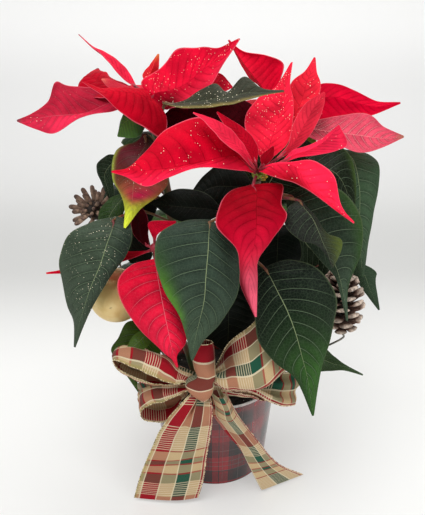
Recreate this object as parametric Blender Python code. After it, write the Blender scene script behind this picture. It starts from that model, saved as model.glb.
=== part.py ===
"""Poinsettia in a tartan pot with a wired-ribbon bow, two pine cones and a bauble.

Millimetres in the tables, metres in the meshes. +Z is up and the origin is on the
floor under the middle of the pot. -Y is the front.

The leaves, bracts and bow are set out as they are seen from the front. A point is
(across, up, forward): where it shows on the upright plane through the pot's axis
for an eye at EYE, and how far it stands in front of that plane.
"""
import math

import bmesh
import bpy
from mathutils import Matrix, Vector

MM = 0.001
GAP = 0.3
EYE = Vector((-1.6, -470, 400))

POT_HEIGHT = 93
POT_RIM_RADIUS = 59
POT_BASE_RADIUS = 49.5
POT_WALL = 1.8
POT_FLOOR = 2.4
POT_STEPS = 32
SOIL_TOP = 83
HOLE_DEPTH = 24
# A six-sided hole is wider over its corners than the round bar that it clears
HOLE_SPREAD = 1.16

STEM_RADIUS = 3.4
SHOOT_RADIUS = 2.6
PETIOLE_RADIUS = 1.15
STALK_RADIUS = 1.3
BLADE_THICKNESS = 0.75
BLADE_PUFF = 0.07
TIP_WIDTH = 1.4
HUB_RADIUS = 4.2

RIBBON_THICKNESS = 0.8
WIRE_RADIUS = 0.9
WIRE_DEPTH = 20

BAUBLE_RADIUS = 23.2
CAP_RADIUS = 4
CAP_HEIGHT = 6


def seen(across, up, forward):
    """The place that shows at (across, up) on the plane, this far in front of it."""
    share = 1 - forward / 470
    return Vector((EYE.x + (across - EYE.x) * share, -forward, EYE.z + (up - EYE.z) * share))


# Stems: the way of each from the soil to its top, in millimetres
STEMS = {
    "a": [(-14, 8, SOIL_TOP + 2), (-20, 7, 140), (-35, 1, 240), (-50.5, -3, 341)],
    "b": [(11, -12, SOIL_TOP + 2), (17, -17, 140), (26, -29, 220), (32.4, -37, 288)],
    "c": [(18, 16, SOIL_TOP + 2), (26, 20, 150), (40, 27, 240), (49, 31, 324)],
    "d": [(-16, -14, SOIL_TOP + 2), (-25, -23, 130), (-39, -36, 190), (-47, -44, 230)],
    "e": [(34, 2, SOIL_TOP + 2), (42, 2, 130), (52, -2, 180), (60, -6, 222)],
}

# Red bracts of each bloom, from base to tip. Between them each row is
# one edge, the midrib and the other edge.
BRACTS = {
    "a": {
        "far_left": [
            (-61, 344, -4),
            ((-84, 351, -14), (-82, 340.5, -2), (-80, 334.3, 6)),
            ((-112, 353, -16), (-103, 332.5, 0), (-100, 331.3, 8)),
            ((-124, 356, -14), (-118, 331, 4), (-114, 325.3, 12)),
            ((-132, 341, -6), (-131, 330, 6), (-129, 316.5, 16)),
            ((-146, 332, 6), (-146, 327.5, 10), (-143, 319.5, 14)),
            (-158, 326.5, 14),
        ],
        "arching": [
            (-60, 349, -10),
            ((-72, 356, -24), (-74, 352, -16), (-76, 345, -9)),
            ((-80, 359, -34), (-88, 356, -26), (-98, 346, -15)),
            ((-84, 363.5, -48), (-97, 361, -38), (-107, 352, -25)),
            ((-88, 364.5, -58), (-94, 364, -52), (-101, 360, -44)),
            (-90.5, 366.5, -64),
        ],
        "young_left": [
            (-60, 350, 2),
            ((-72, 354.5, -2), (-72, 352.5, 2), (-73, 351, 5)),
            ((-82, 358.5, -4), (-82, 355.5, 1), (-83, 352.5, 5)),
            (-88, 358.5, 0),
        ],
        "front_left": [
            (-51, 346, 8),
            ((-53, 349.5, 8), (-50, 342, 15), (-38.5, 330.5, 22)),
            ((-58, 351.5, 6), (-57, 346, 15), (-42, 313, 26)),
            ((-70, 352.5, 8), (-69, 348.5, 18), (-60, 323.5, 32)),
            ((-80, 352, 10), (-80, 349.5, 20), (-74, 332.5, 32)),
            ((-90, 352, 14), (-91, 350, 21), (-87, 345, 28)),
            (-103, 356.5, 22),
        ],
        "spike": [
            (-62, 353, -7),
            ((-66, 363, -16), (-68, 357.5, -10), (-72, 359.5, -6)),
            ((-73, 371, -20), (-76, 366.5, -12), (-80, 369, -8)),
            ((-83, 378, -20), (-85, 375, -14), (-88, 378, -11)),
            ((-93, 382.5, -18), (-94, 382, -16), (-95, 383.3, -14)),
            (-103, 391, -18),
        ],
        "young_back": [
            (-49, 350, -14),
            ((-56, 361, -26), (-50, 361, -22), (-44, 361, -26)),
            ((-50, 369, -29), (-46.5, 369, -25), (-43, 369, -29)),
            (-43, 377, -31),
        ],
        "right": [
            (-50, 343.5, 8),
            ((-57, 357, 4), (-46, 348, 9), (-39.5, 335.5, 3)),
            ((-41, 367, -24), (-34, 350, 0), (-32, 337, 10)),
            ((-30, 379.5, -32), (-22, 355, -4), (-18, 340, 8)),
            ((-12, 382, -30), (-10, 364.5, -8), (-4, 352, 5)),
            ((3, 381.7, -22), (2, 373, -10), (5, 367, -2)),
            (19, 388, -12),
        ],
        "low_right": [
            (-46, 343, -8),
            ((-27, 352, -20), (-24, 345, -12), (-22, 336, -6)),
            ((-6, 362, -22), (-6, 353, -15), (-7, 342, -9)),
            ((5, 362.5, -20), (5, 356, -15), (4, 347, -10)),
            (14, 352.5, -14),
        ],
    },
    "b": {
        "far_left": [
            (32, 285, 46),
            ((18, 317, 32), (16, 298, 48), (22, 286, 54)),
            ((-8, 329, 36), (-12, 292.8, 60), (-12, 288.5, 64)),
            ((-36, 321.5, 46), (-38, 288, 74), (-38, 280, 80)),
            ((-54, 304, 62), (-58, 286, 82), (-57, 272.5, 88)),
            ((-70, 289, 80), (-72, 285.5, 87), (-73, 280.5, 89)),
            (-85, 285, 91),
        ],
        "edge_on": [
            (32, 289, 48),
            ((20, 300, 60), (24, 301, 55), (28, 300, 50)),
            ((9, 308, 64), (15, 309, 57), (21, 311, 48)),
            ((0, 317.5, 64), (4, 319, 56), (11, 321.5, 48)),
            ((-9, 327, 60), (-7, 328, 54), (-2, 328.5, 50)),
            (-17, 333, 54),
        ],
        "short_dark": [
            (34, 292, 43),
            ((24, 304, 45), (29, 306, 42), (35, 306, 38)),
            ((12, 317, 44), (18, 319, 40), (25, 319.5, 35)),
            (2, 333.5, 38),
        ],
        "tall": [
            (41, 293, 38),
            ((29, 311, 32), (45, 308, 36), (59, 308, 33)),
            ((24, 327, 20), (50, 326, 28), (62.7, 327, 26)),
            ((33, 343, 10), (54, 342, 21), (62, 344, 20)),
            ((48, 353, 6), (56.5, 355, 13), (59, 355, 14)),
            (59.5, 371, 2),
        ],
        "tall_behind": [
            (49, 299, 30),
            ((52, 318, 18), (58, 318, 14), (66, 318, 18)),
            ((56, 340, 6), (68, 340, 0), (80, 338, 6)),
            ((60, 356, 0), (72, 356, -6), (83, 354, -2)),
            ((70, 364.5, -7), (75, 365, -9), (79.5, 363.5, -8)),
            (77, 374.5, -14),
        ],
        "narrow": [
            (52, 296, 38),
            ((60, 308, 36), (64, 308.5, 35), (70, 307, 33)),
            ((63, 324, 31), (71, 321, 31), (80, 320, 27)),
            ((72, 340, 22), (79, 337, 24), (86, 336, 20)),
            (86.5, 348.5, 18),
        ],
        "folded_right": [
            (57, 294, 43),
            ((64, 303, 42), (66, 299.5, 45), (69, 297, 46)),
            ((74, 306, 43), (77, 303, 49), (84, 299, 50)),
            ((85, 311, 45), (88, 309, 51), (101, 303, 50)),
            ((92, 316.5, 47), (94, 315, 51), (108, 308.5, 49)),
            (100, 323, 50),
        ],
        "low_right": [
            (37, 286.5, 45),
            ((46, 291.5, 50), (49, 290.5, 54), (50, 280.5, 62)),
            ((64, 293.5, 48), (65, 290, 62), (64, 276.5, 72)),
            ((84, 293.5, 56), (76, 277.5, 74), (75, 271.5, 79)),
            ((100, 279.5, 66), (90, 264.8, 84), (88, 263, 86)),
            ((107, 256, 80), (104, 252.8, 88), (103, 251.5, 88)),
            (119.5, 240.5, 90),
        ],
        "hanging": [
            (29.5, 274, 50),
            ((15, 268.5, 62), (35.5, 267, 62), (52, 273, 57)),
            ((4, 254, 76), (35.5, 254, 76), (56, 257, 70)),
            ((2, 237, 84), (36, 239, 86), (61.5, 245, 80)),
            ((19, 217, 92), (35, 222, 94), (49, 224, 90)),
            ((22.5, 198, 94), (31, 203, 96), (38.5, 206, 95)),
            ((24, 181, 92), (32, 187, 95), (38.5, 187, 95)),
            (38, 150, 90),
        ],
        "young": [
            (40, 290, 42),
            ((38, 298, 40), (43, 298, 43), (48, 297, 41)),
            (48, 306, 43),
        ],
    },
    "c": {
        "top": [
            (44, 336, -30),
            ((37, 351, -36), (39, 350, -32), (51, 357, -26)),
            ((27, 359.5, -42), (30, 361, -36), (53, 370, -28)),
            ((20, 370, -45), (22, 371, -40), (40, 376, -33)),
            ((15, 379, -46), (16, 379, -44), (22, 379, -40)),
            (10.5, 387, -48),
        ],
        "far_right": [
            (56, 334, -34),
            ((76, 352, -42), (72, 340, -34), (70, 326, -30)),
            ((92, 355.5, -40), (92, 345, -32), (92, 328.5, -26)),
            ((109, 350.5, -34), (110, 341, -27), (112, 329, -22)),
            ((128, 342, -27), (128, 337.5, -23), (126, 331, -21)),
            (147, 340.5, -22),
        ],
        "shaded_left": [
            (40, 330, -28),
            ((22, 343, -30), (22, 334, -22), (22, 319, -16)),
            ((-2, 345, -28), (-2, 333, -19), (-2, 315, -13)),
            ((-28, 341, -22), (-28, 328, -15), (-28, 312, -11)),
            (-52, 318, -12),
        ],
        "pale_right": [
            (57, 327, -22),
            ((80, 327, -16), (80, 320, -8), (80, 312, -2)),
            ((102, 331, -13), (102, 317, -3), (100, 307, 4)),
            ((122, 332, -12), (120, 314.5, -2), (119, 301, 6)),
            ((136, 322, -8), (137, 312.5, -3), (135, 304.5, 2)),
            (153, 314, -4),
        ],
    },
    "d": {
        "big_hanging": [
            (-52, 207, 52),
            ((-72, 201.5, 60), (-51, 195, 64), (-40, 196, 58)),
            ((-86, 186, 64), (-49, 180, 72), (-34, 183, 62)),
            ((-82, 160, 70), (-46, 158, 77), (-28, 163, 68)),
            ((-67, 135, 76), (-43, 138, 82), (-25, 141, 72)),
            ((-49, 114, 81), (-40, 119, 85), (-27, 122, 80)),
            ((-40, 104.5, 84), (-37.5, 107, 85), (-35, 109, 84)),
            (-35, 96, 84),
        ],
        "young": [
            (-52, 225, 44),
            ((-56, 241, 46), (-50, 238, 48), (-48, 231, 50)),
            (-33, 241.5, 50),
        ],
        "far_left": [
            (-56, 215, 42),
            ((-67, 214, 30), (-68, 211.5, 38), (-69, 209, 42)),
            ((-92, 214, 24), (-93, 206, 34), (-94, 200, 38)),
            ((-116, 207, 26), (-117, 200, 34), (-118, 194, 37)),
            ((-134, 197.3, 34), (-134, 195.5, 36), (-134, 193.2, 37)),
            (-149, 193.3, 38),
        ],
        "upright": [
            (-58, 219, 42),
            ((-69, 229, 38), (-63, 229, 42), (-57, 229, 40)),
            ((-71, 243, 34), (-64, 244, 39), (-57, 245, 36)),
            (-64, 258, 33),
        ],
    },
}

# Green leaves of each stem: the height on the stem where the petiole leaves it,
# the points that the petiole passes, and then its blade as for a bract.
LEAVES = {
    "a": {
        "lobed": (324, [(-42, 333, 9)], [
            (-41, 340.5, 16),
            ((-29, 337, 26), (-31, 339.5, 18), (-26, 341, 12)),
            ((-10, 336.5, 33), (-9, 342, 25), (-10, 351, 16)),
            ((3, 338, 36), (3, 344, 29), (1, 354.8, 18)),
            ((14, 339.5, 36), (13, 345, 30), (10.5, 349, 24)),
            ((25, 342.5, 35), (25, 348, 29), (23, 360.5, 20)),
            ((40, 346.5, 32), (41, 348.5, 30), (37, 351.5, 27)),
            (54.5, 349.5, 28),
        ]),
        "below_bloom": (318, [], [
            (-52, 333, -2),
            ((-63, 338, -12), (-61, 330, -4), (-57, 319, 4)),
            ((-73, 331, -12), (-72, 325, -6), (-64, 313, 2)),
            (-78, 314, -6),
        ]),
        "turning": (296, [(-50, 312, 8)], [
            (-56, 316, 14),
            ((-65, 309, 14), (-56, 307, 22), (-49, 310, 18)),
            ((-80, 303, 24), (-63, 295, 36), (-44, 299, 26)),
            ((-85, 281, 34), (-67, 278, 46), (-38, 279, 34)),
            ((-80, 269, 42), (-69, 262, 50), (-46, 265.5, 42)),
            ((-76, 255, 48), (-71, 252, 52), (-62, 253.5, 48)),
            (-77, 236, 51),
        ]),
        "dark_left": (280, [(-62, 292, 0)], [
            (-76, 297, 0),
            ((-87, 299, -8), (-84, 292, -2), (-81, 283, 4)),
            ((-97, 290, -8), (-91, 282, 0), (-84, 277, 6)),
            ((-94, 276, -2), (-89, 270, 4), (-84, 266, 8)),
            (-86, 256, 6),
        ]),
        "veined_left": (258, [(-58, 268, 6)], [
            (-71, 268, 13),
            ((-88, 262, 13), (-82, 257, 19), (-77, 250, 21)),
            ((-98, 250, 17), (-90, 245, 24), (-81, 237, 25)),
            ((-99, 236, 20), (-94, 231, 25), (-88, 225, 26)),
            (-103, 214, 25),
        ]),
        "big_left": (240, [(-62, 251, 14)], [
            (-84, 246, 36),
            ((-104, 241.3, 42), (-88, 234, 49), (-73, 242, 45)),
            ((-124, 231, 46), (-94, 219, 55), (-71, 228, 52)),
            ((-135, 211, 48), (-101, 200, 59), (-77, 211, 56)),
            ((-136, 189, 51), (-110, 181, 61), (-92, 190.5, 58)),
            ((-133, 161, 55), (-118, 160, 61), (-109, 163, 59)),
            ((-129, 143, 56), (-124.5, 141.5, 59), (-119.5, 142, 58)),
            (-130.5, 118, 57),
        ]),
        "inner_low": (236, [], [
            (-46, 262, 6),
            ((-60, 272, 1), (-56, 260, 7), (-50, 250, 6)),
            ((-76, 250, 1), (-67, 239, 8), (-57, 232, 5)),
            ((-84, 222, 3), (-73, 214, 8), (-55, 208, 5)),
            (-73, 203, 7),
        ]),
    },
    "b": {
        "big_front": (226, [(16, 246, 52)], [
            (-3, 243, 64),
            ((-24, 242.5, 70), (-4.5, 234, 73), (11, 231, 68)),
            ((-47, 231, 77), (-5.5, 214, 80), (20, 214, 73)),
            ((-52, 206, 81), (-7.5, 190, 84), (23, 194, 75)),
            ((-45, 177, 84), (-9, 168, 86), (19, 168, 77)),
            ((-32, 151, 86), (-13, 148, 87), (5, 143, 80)),
            ((-26, 129, 86), (-18, 126, 87), (-11, 123, 84)),
            (-21, 103.5, 86),
        ]),
        "big_right": (206, [(34, 206, 54)], [
            (44, 199, 66),
            ((37, 199, 64), (49, 191, 70), (66, 206.3, 64)),
            ((35, 178, 71), (57, 175, 76), (91, 198, 68)),
            ((37, 150, 76), (66, 157, 82), (109, 173, 72)),
            ((42, 123, 80), (75, 134, 86), (110, 142, 76)),
            ((57, 102, 84), (83, 107, 88), (105, 111, 82)),
            ((79, 81, 88), (90, 81, 90), (101, 86, 87)),
            (97.5, 40, 90),
        ]),
        "upper_right": (252, [(48, 264, 42)], [
            (61, 266, 46),
            ((82, 276, 48), (73, 256, 53), (63, 247, 52)),
            ((108, 268, 54), (88, 235, 59), (75, 228, 58)),
            ((126, 243, 58), (102, 211, 64), (92, 207, 63)),
            ((128, 212, 62), (111, 190, 67), (107, 190, 66)),
            ((120, 179, 66), (117, 169, 68), (114, 171, 68)),
            (122, 146, 66),
        ]),
        "grey_folded": (266, [(54, 262, 58), (64, 262, 65)], [
            (71, 261, 69),
            ((62, 253, 71), (76, 254, 75), (79, 254, 73)),
            ((61, 238, 75), (84, 244, 79), (88, 244, 76)),
            ((74, 225, 78), (90, 232, 81), (97, 231, 77)),
            ((88, 220.5, 80), (94, 223, 81), (109, 226, 77)),
            ((98, 211, 79), (99.5, 212, 80), (111, 217, 78)),
            (104.5, 199, 78),
        ]),
        "inner_left": (214, [], [
            (8, 250, 32),
            ((-8, 267, 24), (-8, 253, 32), (-8, 242, 38)),
            ((-32, 270, 23), (-31, 255, 31), (-30, 242, 36)),
            (-53, 258, 30),
        ]),
        "low_centre": (158, [], [
            (14, 200, 36),
            ((-4, 184, 32), (13, 183, 38), (32, 186, 34)),
            ((-10, 156, 36), (13, 158, 42), (37, 162, 38)),
            ((-8, 133, 38), (13, 134, 42), (32, 139, 40)),
            (12, 112, 42),
        ]),
    },
    "c": {
        "inner_top": (232, [(40, 262, 4)], [
            (34, 268, 16),
            ((22, 288, 4), (18, 272, 14), (20, 256, 20)),
            ((4, 291, 0), (0, 272, 12), (2, 254, 20)),
            ((-12, 278, 4), (-12, 266, 12), (-9, 253, 18)),
            (-24, 258, 14),
        ]),
        "olive_right": (272, [(54, 290, -6)], [
            (60, 296, 6),
            ((72, 311, 0), (70, 300, 8), (67, 288, 14)),
            ((84, 306, 4), (84, 291, 14), (84, 275, 21)),
            ((106, 304, 10), (100, 284, 22), (94, 265, 30)),
            ((117, 282, 18), (110, 270, 27), (103, 257, 35)),
            (119, 247, 32),
        ]),
        "far_right": (268, [(78, 300, -18)], [
            (98, 304, -14),
            ((102, 296, -12), (113, 296, -10), (127, 299, -16)),
            ((104, 275, -2), (121, 272, 2), (136.5, 286, -6)),
            ((108, 245, 4), (124, 245, 8), (136, 258, 0)),
            ((114, 218, 10), (127, 218, 14), (134, 230, 8)),
            (132, 190, 14),
        ]),
        "behind_b": (244, [], [
            (42, 256, -8),
            ((27, 287, -15), (46, 276, -8), (65, 259, -5)),
            ((35, 305, -17), (58, 292, -9), (80, 273, -6)),
            ((58, 314, -16), (72, 304, -10), (86, 291, -8)),
            (81, 315, -10),
        ]),
    },
    "d": {
        "low_left": (136, [], [
            (-57, 143, 22),
            ((-79, 145, 24), (-70, 133, 27), (-50, 122, 28)),
            ((-89, 128, 24), (-77, 118, 28), (-53, 104, 29)),
            ((-96.5, 115, 25), (-84, 104, 28), (-66, 93, 29)),
            ((-90, 99, 26), (-82, 92, 28), (-74, 85, 28)),
            (-72, 66, 28),
        ]),
        "low_left_front": (152, [], [
            (-56, 140, 48),
            ((-73, 132, 56), (-67, 127, 60), (-60, 122, 61)),
            ((-80, 121, 63), (-77, 117, 66), (-70, 113, 67)),
            (-84, 108, 69),
        ]),
    },
    "e": {
        "inner_right": (206, [], [
            (56, 240, 22),
            ((39, 233, 26), (55, 228, 32), (70, 232, 28)),
            ((34, 208, 33), (55, 206, 38), (76, 208, 34)),
            (54, 180, 40),
        ]),
        "inner_far_right": (214, [], [
            (70, 238, 0),
            ((86, 236, -10), (80, 221, -4), (74, 204, -2)),
            ((108, 226, -10), (97, 205, -3), (86, 184, -2)),
            ((118, 206, -8), (110, 193, -4), (102, 180, -2)),
            (120, 176, -4),
        ]),
        "low_right": (112, [(70, 112, 20)], [
            (86, 114, 30),
            ((100, 119, 26), (98, 107, 33), (96, 93, 37)),
            ((113, 108, 26), (112, 100, 31), (110, 91.7, 35)),
            ((124, 99, 26), (124, 96, 29), (124, 92.3, 32)),
            (142, 87.5, 26),
        ]),
        "side_tip": (176, [(100, 206, -6)], [
            (120, 206, -4),
            ((122, 193, -2), (133, 192, 0), (142, 196, -4)),
            ((132, 179, 0), (139, 179, 2), (144, 184, 0)),
            (150, 157, 2),
        ]),
    },
}

# Leaves and bracts round the back, which no view from the front shows:
# height on the stem, compass angle, petiole, length, width and droop in degrees
BACK_LEAVES = {
    "a": [
        (300, 103, 34, 88, 52, 62),
        (262, 136, 30, 78, 46, 70),
        (222, 100, 40, 92, 56, 66),
        (182, 150, 34, 84, 50, 72),
        (142, 120, 34, 76, 46, 74),
    ],
    "c": [
        (296, 78, 34, 92, 56, 60),
        (262, 30, 30, 80, 46, 72),
        (226, 66, 40, 94, 58, 66),
        (186, 98, 36, 88, 54, 70),
        (148, 60, 38, 80, 48, 74),
    ],
    "e": [
        (206, 28, 26, 74, 44, 66),
        (150, 18, 30, 70, 42, 72),
    ],
}
BACK_BRACTS = {
    "a": [(70, 74, 40, 24), (106, 92, 48, 30), (146, 70, 38, 34)],
    "c": [(24, 66, 38, 26), (62, 88, 46, 30), (96, 96, 50, 28), (132, 76, 40, 32)],
}

# Ribbon of the bow: each piece between its two edges, from the knot outwards
RIBBON = {
    "bow_loop_left_upper": (
        [(-27, 79, 76), (-38, 77, 81), (-50, 82, 84), (-65, 89, 84), (-80, 98, 80), (-94, 104, 74),
         (-95, 100.5, 71), (-87, 91, 71), (-75, 84, 72), (-62, 79, 73), (-46, 76, 74), (-27.5, 77, 73)],
        [(-15, 89, 64.5), (-34, 97, 56), (-50, 107, 46), (-65, 116, 38), (-78, 120.5, 34), (-86, 118, 33),
         (-88, 112, 33), (-84, 106, 34), (-75, 101, 38), (-62, 97, 42), (-46, 91, 51), (-20, 85, 63)],
    ),
    "bow_loop_left_lower": (
        [(-23.6, 70, 75.2), (-40, 61.5, 77), (-50, 57, 78), (-60, 54, 76), (-69, 48, 74), (-73, 41, 72),
         (-70, 35, 71), (-60, 32.5, 71), (-50, 33, 71), (-40, 40, 71), (-29, 66, 68)],
        [(-24, 76, 65), (-38, 82, 56), (-50, 86, 48), (-60, 88, 42), (-67.5, 87, 38), (-71, 83, 36),
         (-69, 78, 36), (-60, 74, 38), (-50, 72, 42), (-40, 71, 50), (-26, 71, 63)],
    ),
    "bow_loop_right_upper": (
        [(0.3, 79, 76), (11, 70.5, 79), (21, 71, 80), (32, 70.5, 80), (43, 71.5, 79), (53, 76, 78),
         (65, 89, 76), (77, 100, 72), (83, 106, 64), (77, 108, 52), (60, 100, 46), (40, 92, 46),
         (20, 86, 54), (1, 82, 67)],
        [(-1, 92, 68), (6, 107, 66), (12, 120, 62), (20, 129, 61), (31, 138, 61), (42, 149, 62),
         (56, 152, 62), (70, 150, 58), (76, 144, 50), (68, 134, 43), (50, 122, 42), (32, 110, 45),
         (15, 98, 54), (-3, 91, 64)],
    ),
    "bow_loop_right_lower": (
        [(-6.5, 74.5, 73), (20, 69.5, 70), (36, 67, 70), (46, 61, 72), (56, 56, 72), (67, 51.5, 70), (77, 52, 66),
         (80.5, 58, 58), (76, 62, 50), (62, 60, 50), (47, 58, 53), (36, 64, 58), (20, 67.5, 63), (-5, 71, 66)],
        [(-8, 79, 68), (20, 79, 60), (36, 82, 56), (46, 85, 53), (56, 88, 51), (67, 90, 49), (76, 90, 45),
         (80.5, 89, 40), (76, 87, 36), (64, 84, 36), (48, 80, 40), (36, 77, 46), (20, 75.5, 54), (-8, 75, 62)],
    ),
    "bow_tail_left": (
        [(-22, 67, 73.7), (-33, 53, 78.5), (-43, 40, 79), (-55, 20, 76), (-62, 2, 73), (-70, -18, 71),
         (-78, -42, 69.5), (-84, -65, 69)],
        [(-5, 67, 72.6), (-2, 51, 80.5), (-2, 35, 82), (-3.5, 20, 80), (-5.5, 4, 78), (-8, -13, 76),
         (-11, -40, 73), (-17, -65, 71)],
    ),
    "bow_tail_right": (
        [(-3, 68, 75.8), (1.5, 52, 76.5), (2.5, 40, 76), (10, 28, 74), (18, 15, 72), (27, 0, 70), (33, -15, 69),
         (41, -34, 66), (50, -55, 60)],
        [(11, 68, 73.6), (17, 54, 73), (22, 43, 71), (30, 30, 69), (38, 18, 67), (48, 3, 64), (57, -10, 60),
         (70, -23, 51), (92, -34, 40)],
    ),
}
# Knot, from bottom to top: (across, up, forward), half its width and half its depth
KNOT = [
    ((-12, 59.5, 79), 7, 3),
    ((-13, 64, 79), 11, 5),
    ((-14, 73, 78), 13.5, 7),
    ((-13, 79, 77), 12, 6.5),
    ((-8, 85, 75), 9, 5.5),
    ((-9, 94, 73), 10, 6.5),
    ((-10, 106, 71), 10.6, 7),
    ((-10, 117, 69), 10, 6.5),
    ((-10, 123, 68), 8.5, 4),
]

# Picks of steel wire: the way of each from behind what it holds, down into the soil
PICKS = {
    "bow_pick": [(-10.5, -60, 124), (-8, -48, 102), (-6, -38, SOIL_TOP + 2)],
    "pinecone_left_pick": [(-88, 12, 222), (-80, 0, 190), (-56, 6, 140), (-38, 12, 100),
                           (-33, 13, SOIL_TOP + 2)],
    "pinecone_right_pick": [(92, -16, 124), (66, -6, 106), (50, -5, 94), (45, -5, SOIL_TOP + 2)],
    "bauble_pick": [(-54, -11, 130), (-40, -4, 98), (-36, -3, SOIL_TOP + 2)],
}
# Where the bow's pick meets the back of the knot
KNOT_BACK = (-11.1, -70, 131.6)

# Cones: middle of the base, middle of the tip, greatest radius, scales
CONES = {
    "pinecone_left": ((-96, 250, -16), (-107, 254, 10), 23, 23),
    "pinecone_right": ((118, 134, 28), (110, 208, 26), 21.5, 38),
}
BAUBLE_AT = (-88, 172, 25)

# The small yellow-green flowers of each bloom: the way they face from its hub,
# how many stand round the middle one, and their radius
FLOWERS = {"a": (0.1, 0.6, 0.9, 3, 1.2), "b": (0.75, -0.75, -0.15, 4, 1.5), "c": (0.6, 0.6, 0.9, 4, 1.5)}


def clear_scene():
    for thing in list(bpy.data.objects):
        bpy.data.objects.remove(thing)


def new_collection(name):
    group = bpy.data.collections.new(name)
    bpy.context.scene.collection.children.link(group)
    return group


def material(name, colour, roughness, metallic=0.0):
    mat = bpy.data.materials.new(name)
    mat.use_nodes = True
    shader = mat.node_tree.nodes["Principled BSDF"]
    shader.inputs["Base Color"].default_value = (*colour, 1)
    shader.inputs["Roughness"].default_value = roughness
    shader.inputs["Metallic"].default_value = metallic
    return mat


def object_from(name, bm, group, mat):
    """A new object of this mesh, whose points are in millimetres, with its faces out."""
    bmesh.ops.recalc_face_normals(bm, faces=bm.faces)
    bmesh.ops.scale(bm, vec=(MM, MM, MM), verts=bm.verts)
    mesh = bpy.data.meshes.new(name)
    bm.to_mesh(mesh)
    bm.free()
    mesh.materials.append(mat)
    thing = bpy.data.objects.new(name, mesh)
    group.objects.link(thing)
    return thing


def joined(name, pieces, mat, group):
    """One body made of pieces that run into each other."""
    first = pieces[0]
    first.name = name
    others = new_collection(name + "_pieces")
    for piece in pieces[1:]:
        group.objects.unlink(piece)
        others.objects.link(piece)
    union = first.modifiers.new("union", "BOOLEAN")
    union.operation = "UNION"
    union.operand_type = "COLLECTION"
    union.collection = others
    union.solver = "MANIFOLD"
    bpy.context.view_layer.update()
    whole = bpy.data.meshes.new_from_object(first.evaluated_get(bpy.context.evaluated_depsgraph_get()))
    first.modifiers.clear()
    first.data = whole
    whole.name = name
    whole.materials.clear()
    whole.materials.append(mat)
    for piece in pieces[1:]:
        bpy.data.objects.remove(piece)
    bpy.data.collections.remove(others)
    return first


def smooth_way(points, share):
    """A point this share of the way along the smooth line through these points."""
    spans = len(points) - 1
    place = min(share * spans, spans - 1e-6)
    i = int(place)
    t = place - i
    p1, p2 = points[i], points[i + 1]
    p0 = points[i - 1] if i > 0 else p1 * 2 - p2
    p3 = points[i + 2] if i + 2 <= spans else p2 * 2 - p1
    return 0.5 * (
        p1 * 2 + (p2 - p0) * t + (p0 * 2 - p1 * 5 + p2 * 4 - p3) * t**2
        + (p1 * 3 - p0 - p2 * 3 + p3) * t**3
    )


def smooth_line(points, steps):
    return [smooth_way(points, i / steps) for i in range(steps + 1)]


def tube(name, line, radius, sides, group, mat):
    """A round bar along these points, with closed ends."""
    curve = bpy.data.curves.new(name, "CURVE")
    curve.dimensions = "3D"
    curve.bevel_depth = radius * MM
    curve.bevel_resolution = sides // 2 - 2
    curve.use_fill_caps = True
    spline = curve.splines.new("POLY")
    spline.points.add(len(line) - 1)
    for point, place in zip(spline.points, line):
        point.co = (*(place * MM), 1)
    bar = bpy.data.objects.new(name, curve)
    group.objects.link(bar)
    bpy.context.view_layer.update()
    mesh = bpy.data.meshes.new_from_object(bar.evaluated_get(bpy.context.evaluated_depsgraph_get()))
    bpy.data.objects.remove(bar)
    bm = bmesh.new()
    bm.from_mesh(mesh)
    bmesh.ops.remove_doubles(bm, verts=bm.verts, dist=1e-6)
    bmesh.ops.scale(bm, vec=(1 / MM, 1 / MM, 1 / MM), verts=bm.verts)
    return object_from(name, bm, group, mat)


def square_to(way, line):
    """The part of a way that is square to a line, one unit long."""
    along = line.normalized()
    return (way - along * way.dot(along)).normalized()


def rails(rows):
    """The two edges and the midrib of a blade, as three lines of points."""
    base, tip = rows[0], rows[-1]
    inner = rows[1:-1]
    spread = square_to(inner[0][2] - inner[0][0], inner[0][1] - base) * PETIOLE_RADIUS
    close = square_to(inner[-1][2] - inner[-1][0], tip - inner[-1][1]) * TIP_WIDTH / 2
    lines = [[base + spread * side] + [row[i] for row in inner] + [tip + close * side]
             for i, side in ((0, -1), (1, 0), (2, 1))]
    return lines


def blade(name, rows, group, mat):
    """A thin leaf or bract whose two halves swell a little between rib and edge."""
    first, rib, second = rails(rows)
    across_steps = 4 if len(rows) >= 7 else 2
    bm = bmesh.new()
    bmesh.ops.create_grid(bm, x_segments=across_steps, y_segments=min(len(rows), 8), size=1)
    for vert in bm.verts:
        side = vert.co.x
        along = (vert.co.y + 1) / 2
        middle = smooth_way(rib, along)
        edge = smooth_way(first if side < 0 else second, along)
        ahead = smooth_way(rib, min(along + 0.02, 1)) - smooth_way(rib, max(along - 0.02, 0))
        reach = edge - middle
        up = ahead.cross(reach) if side > 0 else reach.cross(ahead)
        up.normalize()
        swell = 4 * abs(side) * (1 - abs(side)) * reach.length * BLADE_PUFF
        vert.co = middle + reach * abs(side) + up * swell
    bmesh.ops.triangulate(bm, faces=bm.faces, quad_method="FIXED")
    bmesh.ops.recalc_face_normals(bm, faces=bm.faces)
    bmesh.ops.solidify(bm, geom=bm.faces[:], thickness=BLADE_THICKNESS)
    return object_from(name, bm, group, mat)


def as_seen(rows):
    """The rows of a blade in real millimetres."""
    return [seen(*row) if not isinstance(row[0], tuple) else tuple(seen(*p) for p in row)
            for row in rows]


def compass(angle):
    return Vector((math.cos(math.radians(angle)), math.sin(math.radians(angle)), 0))


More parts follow.
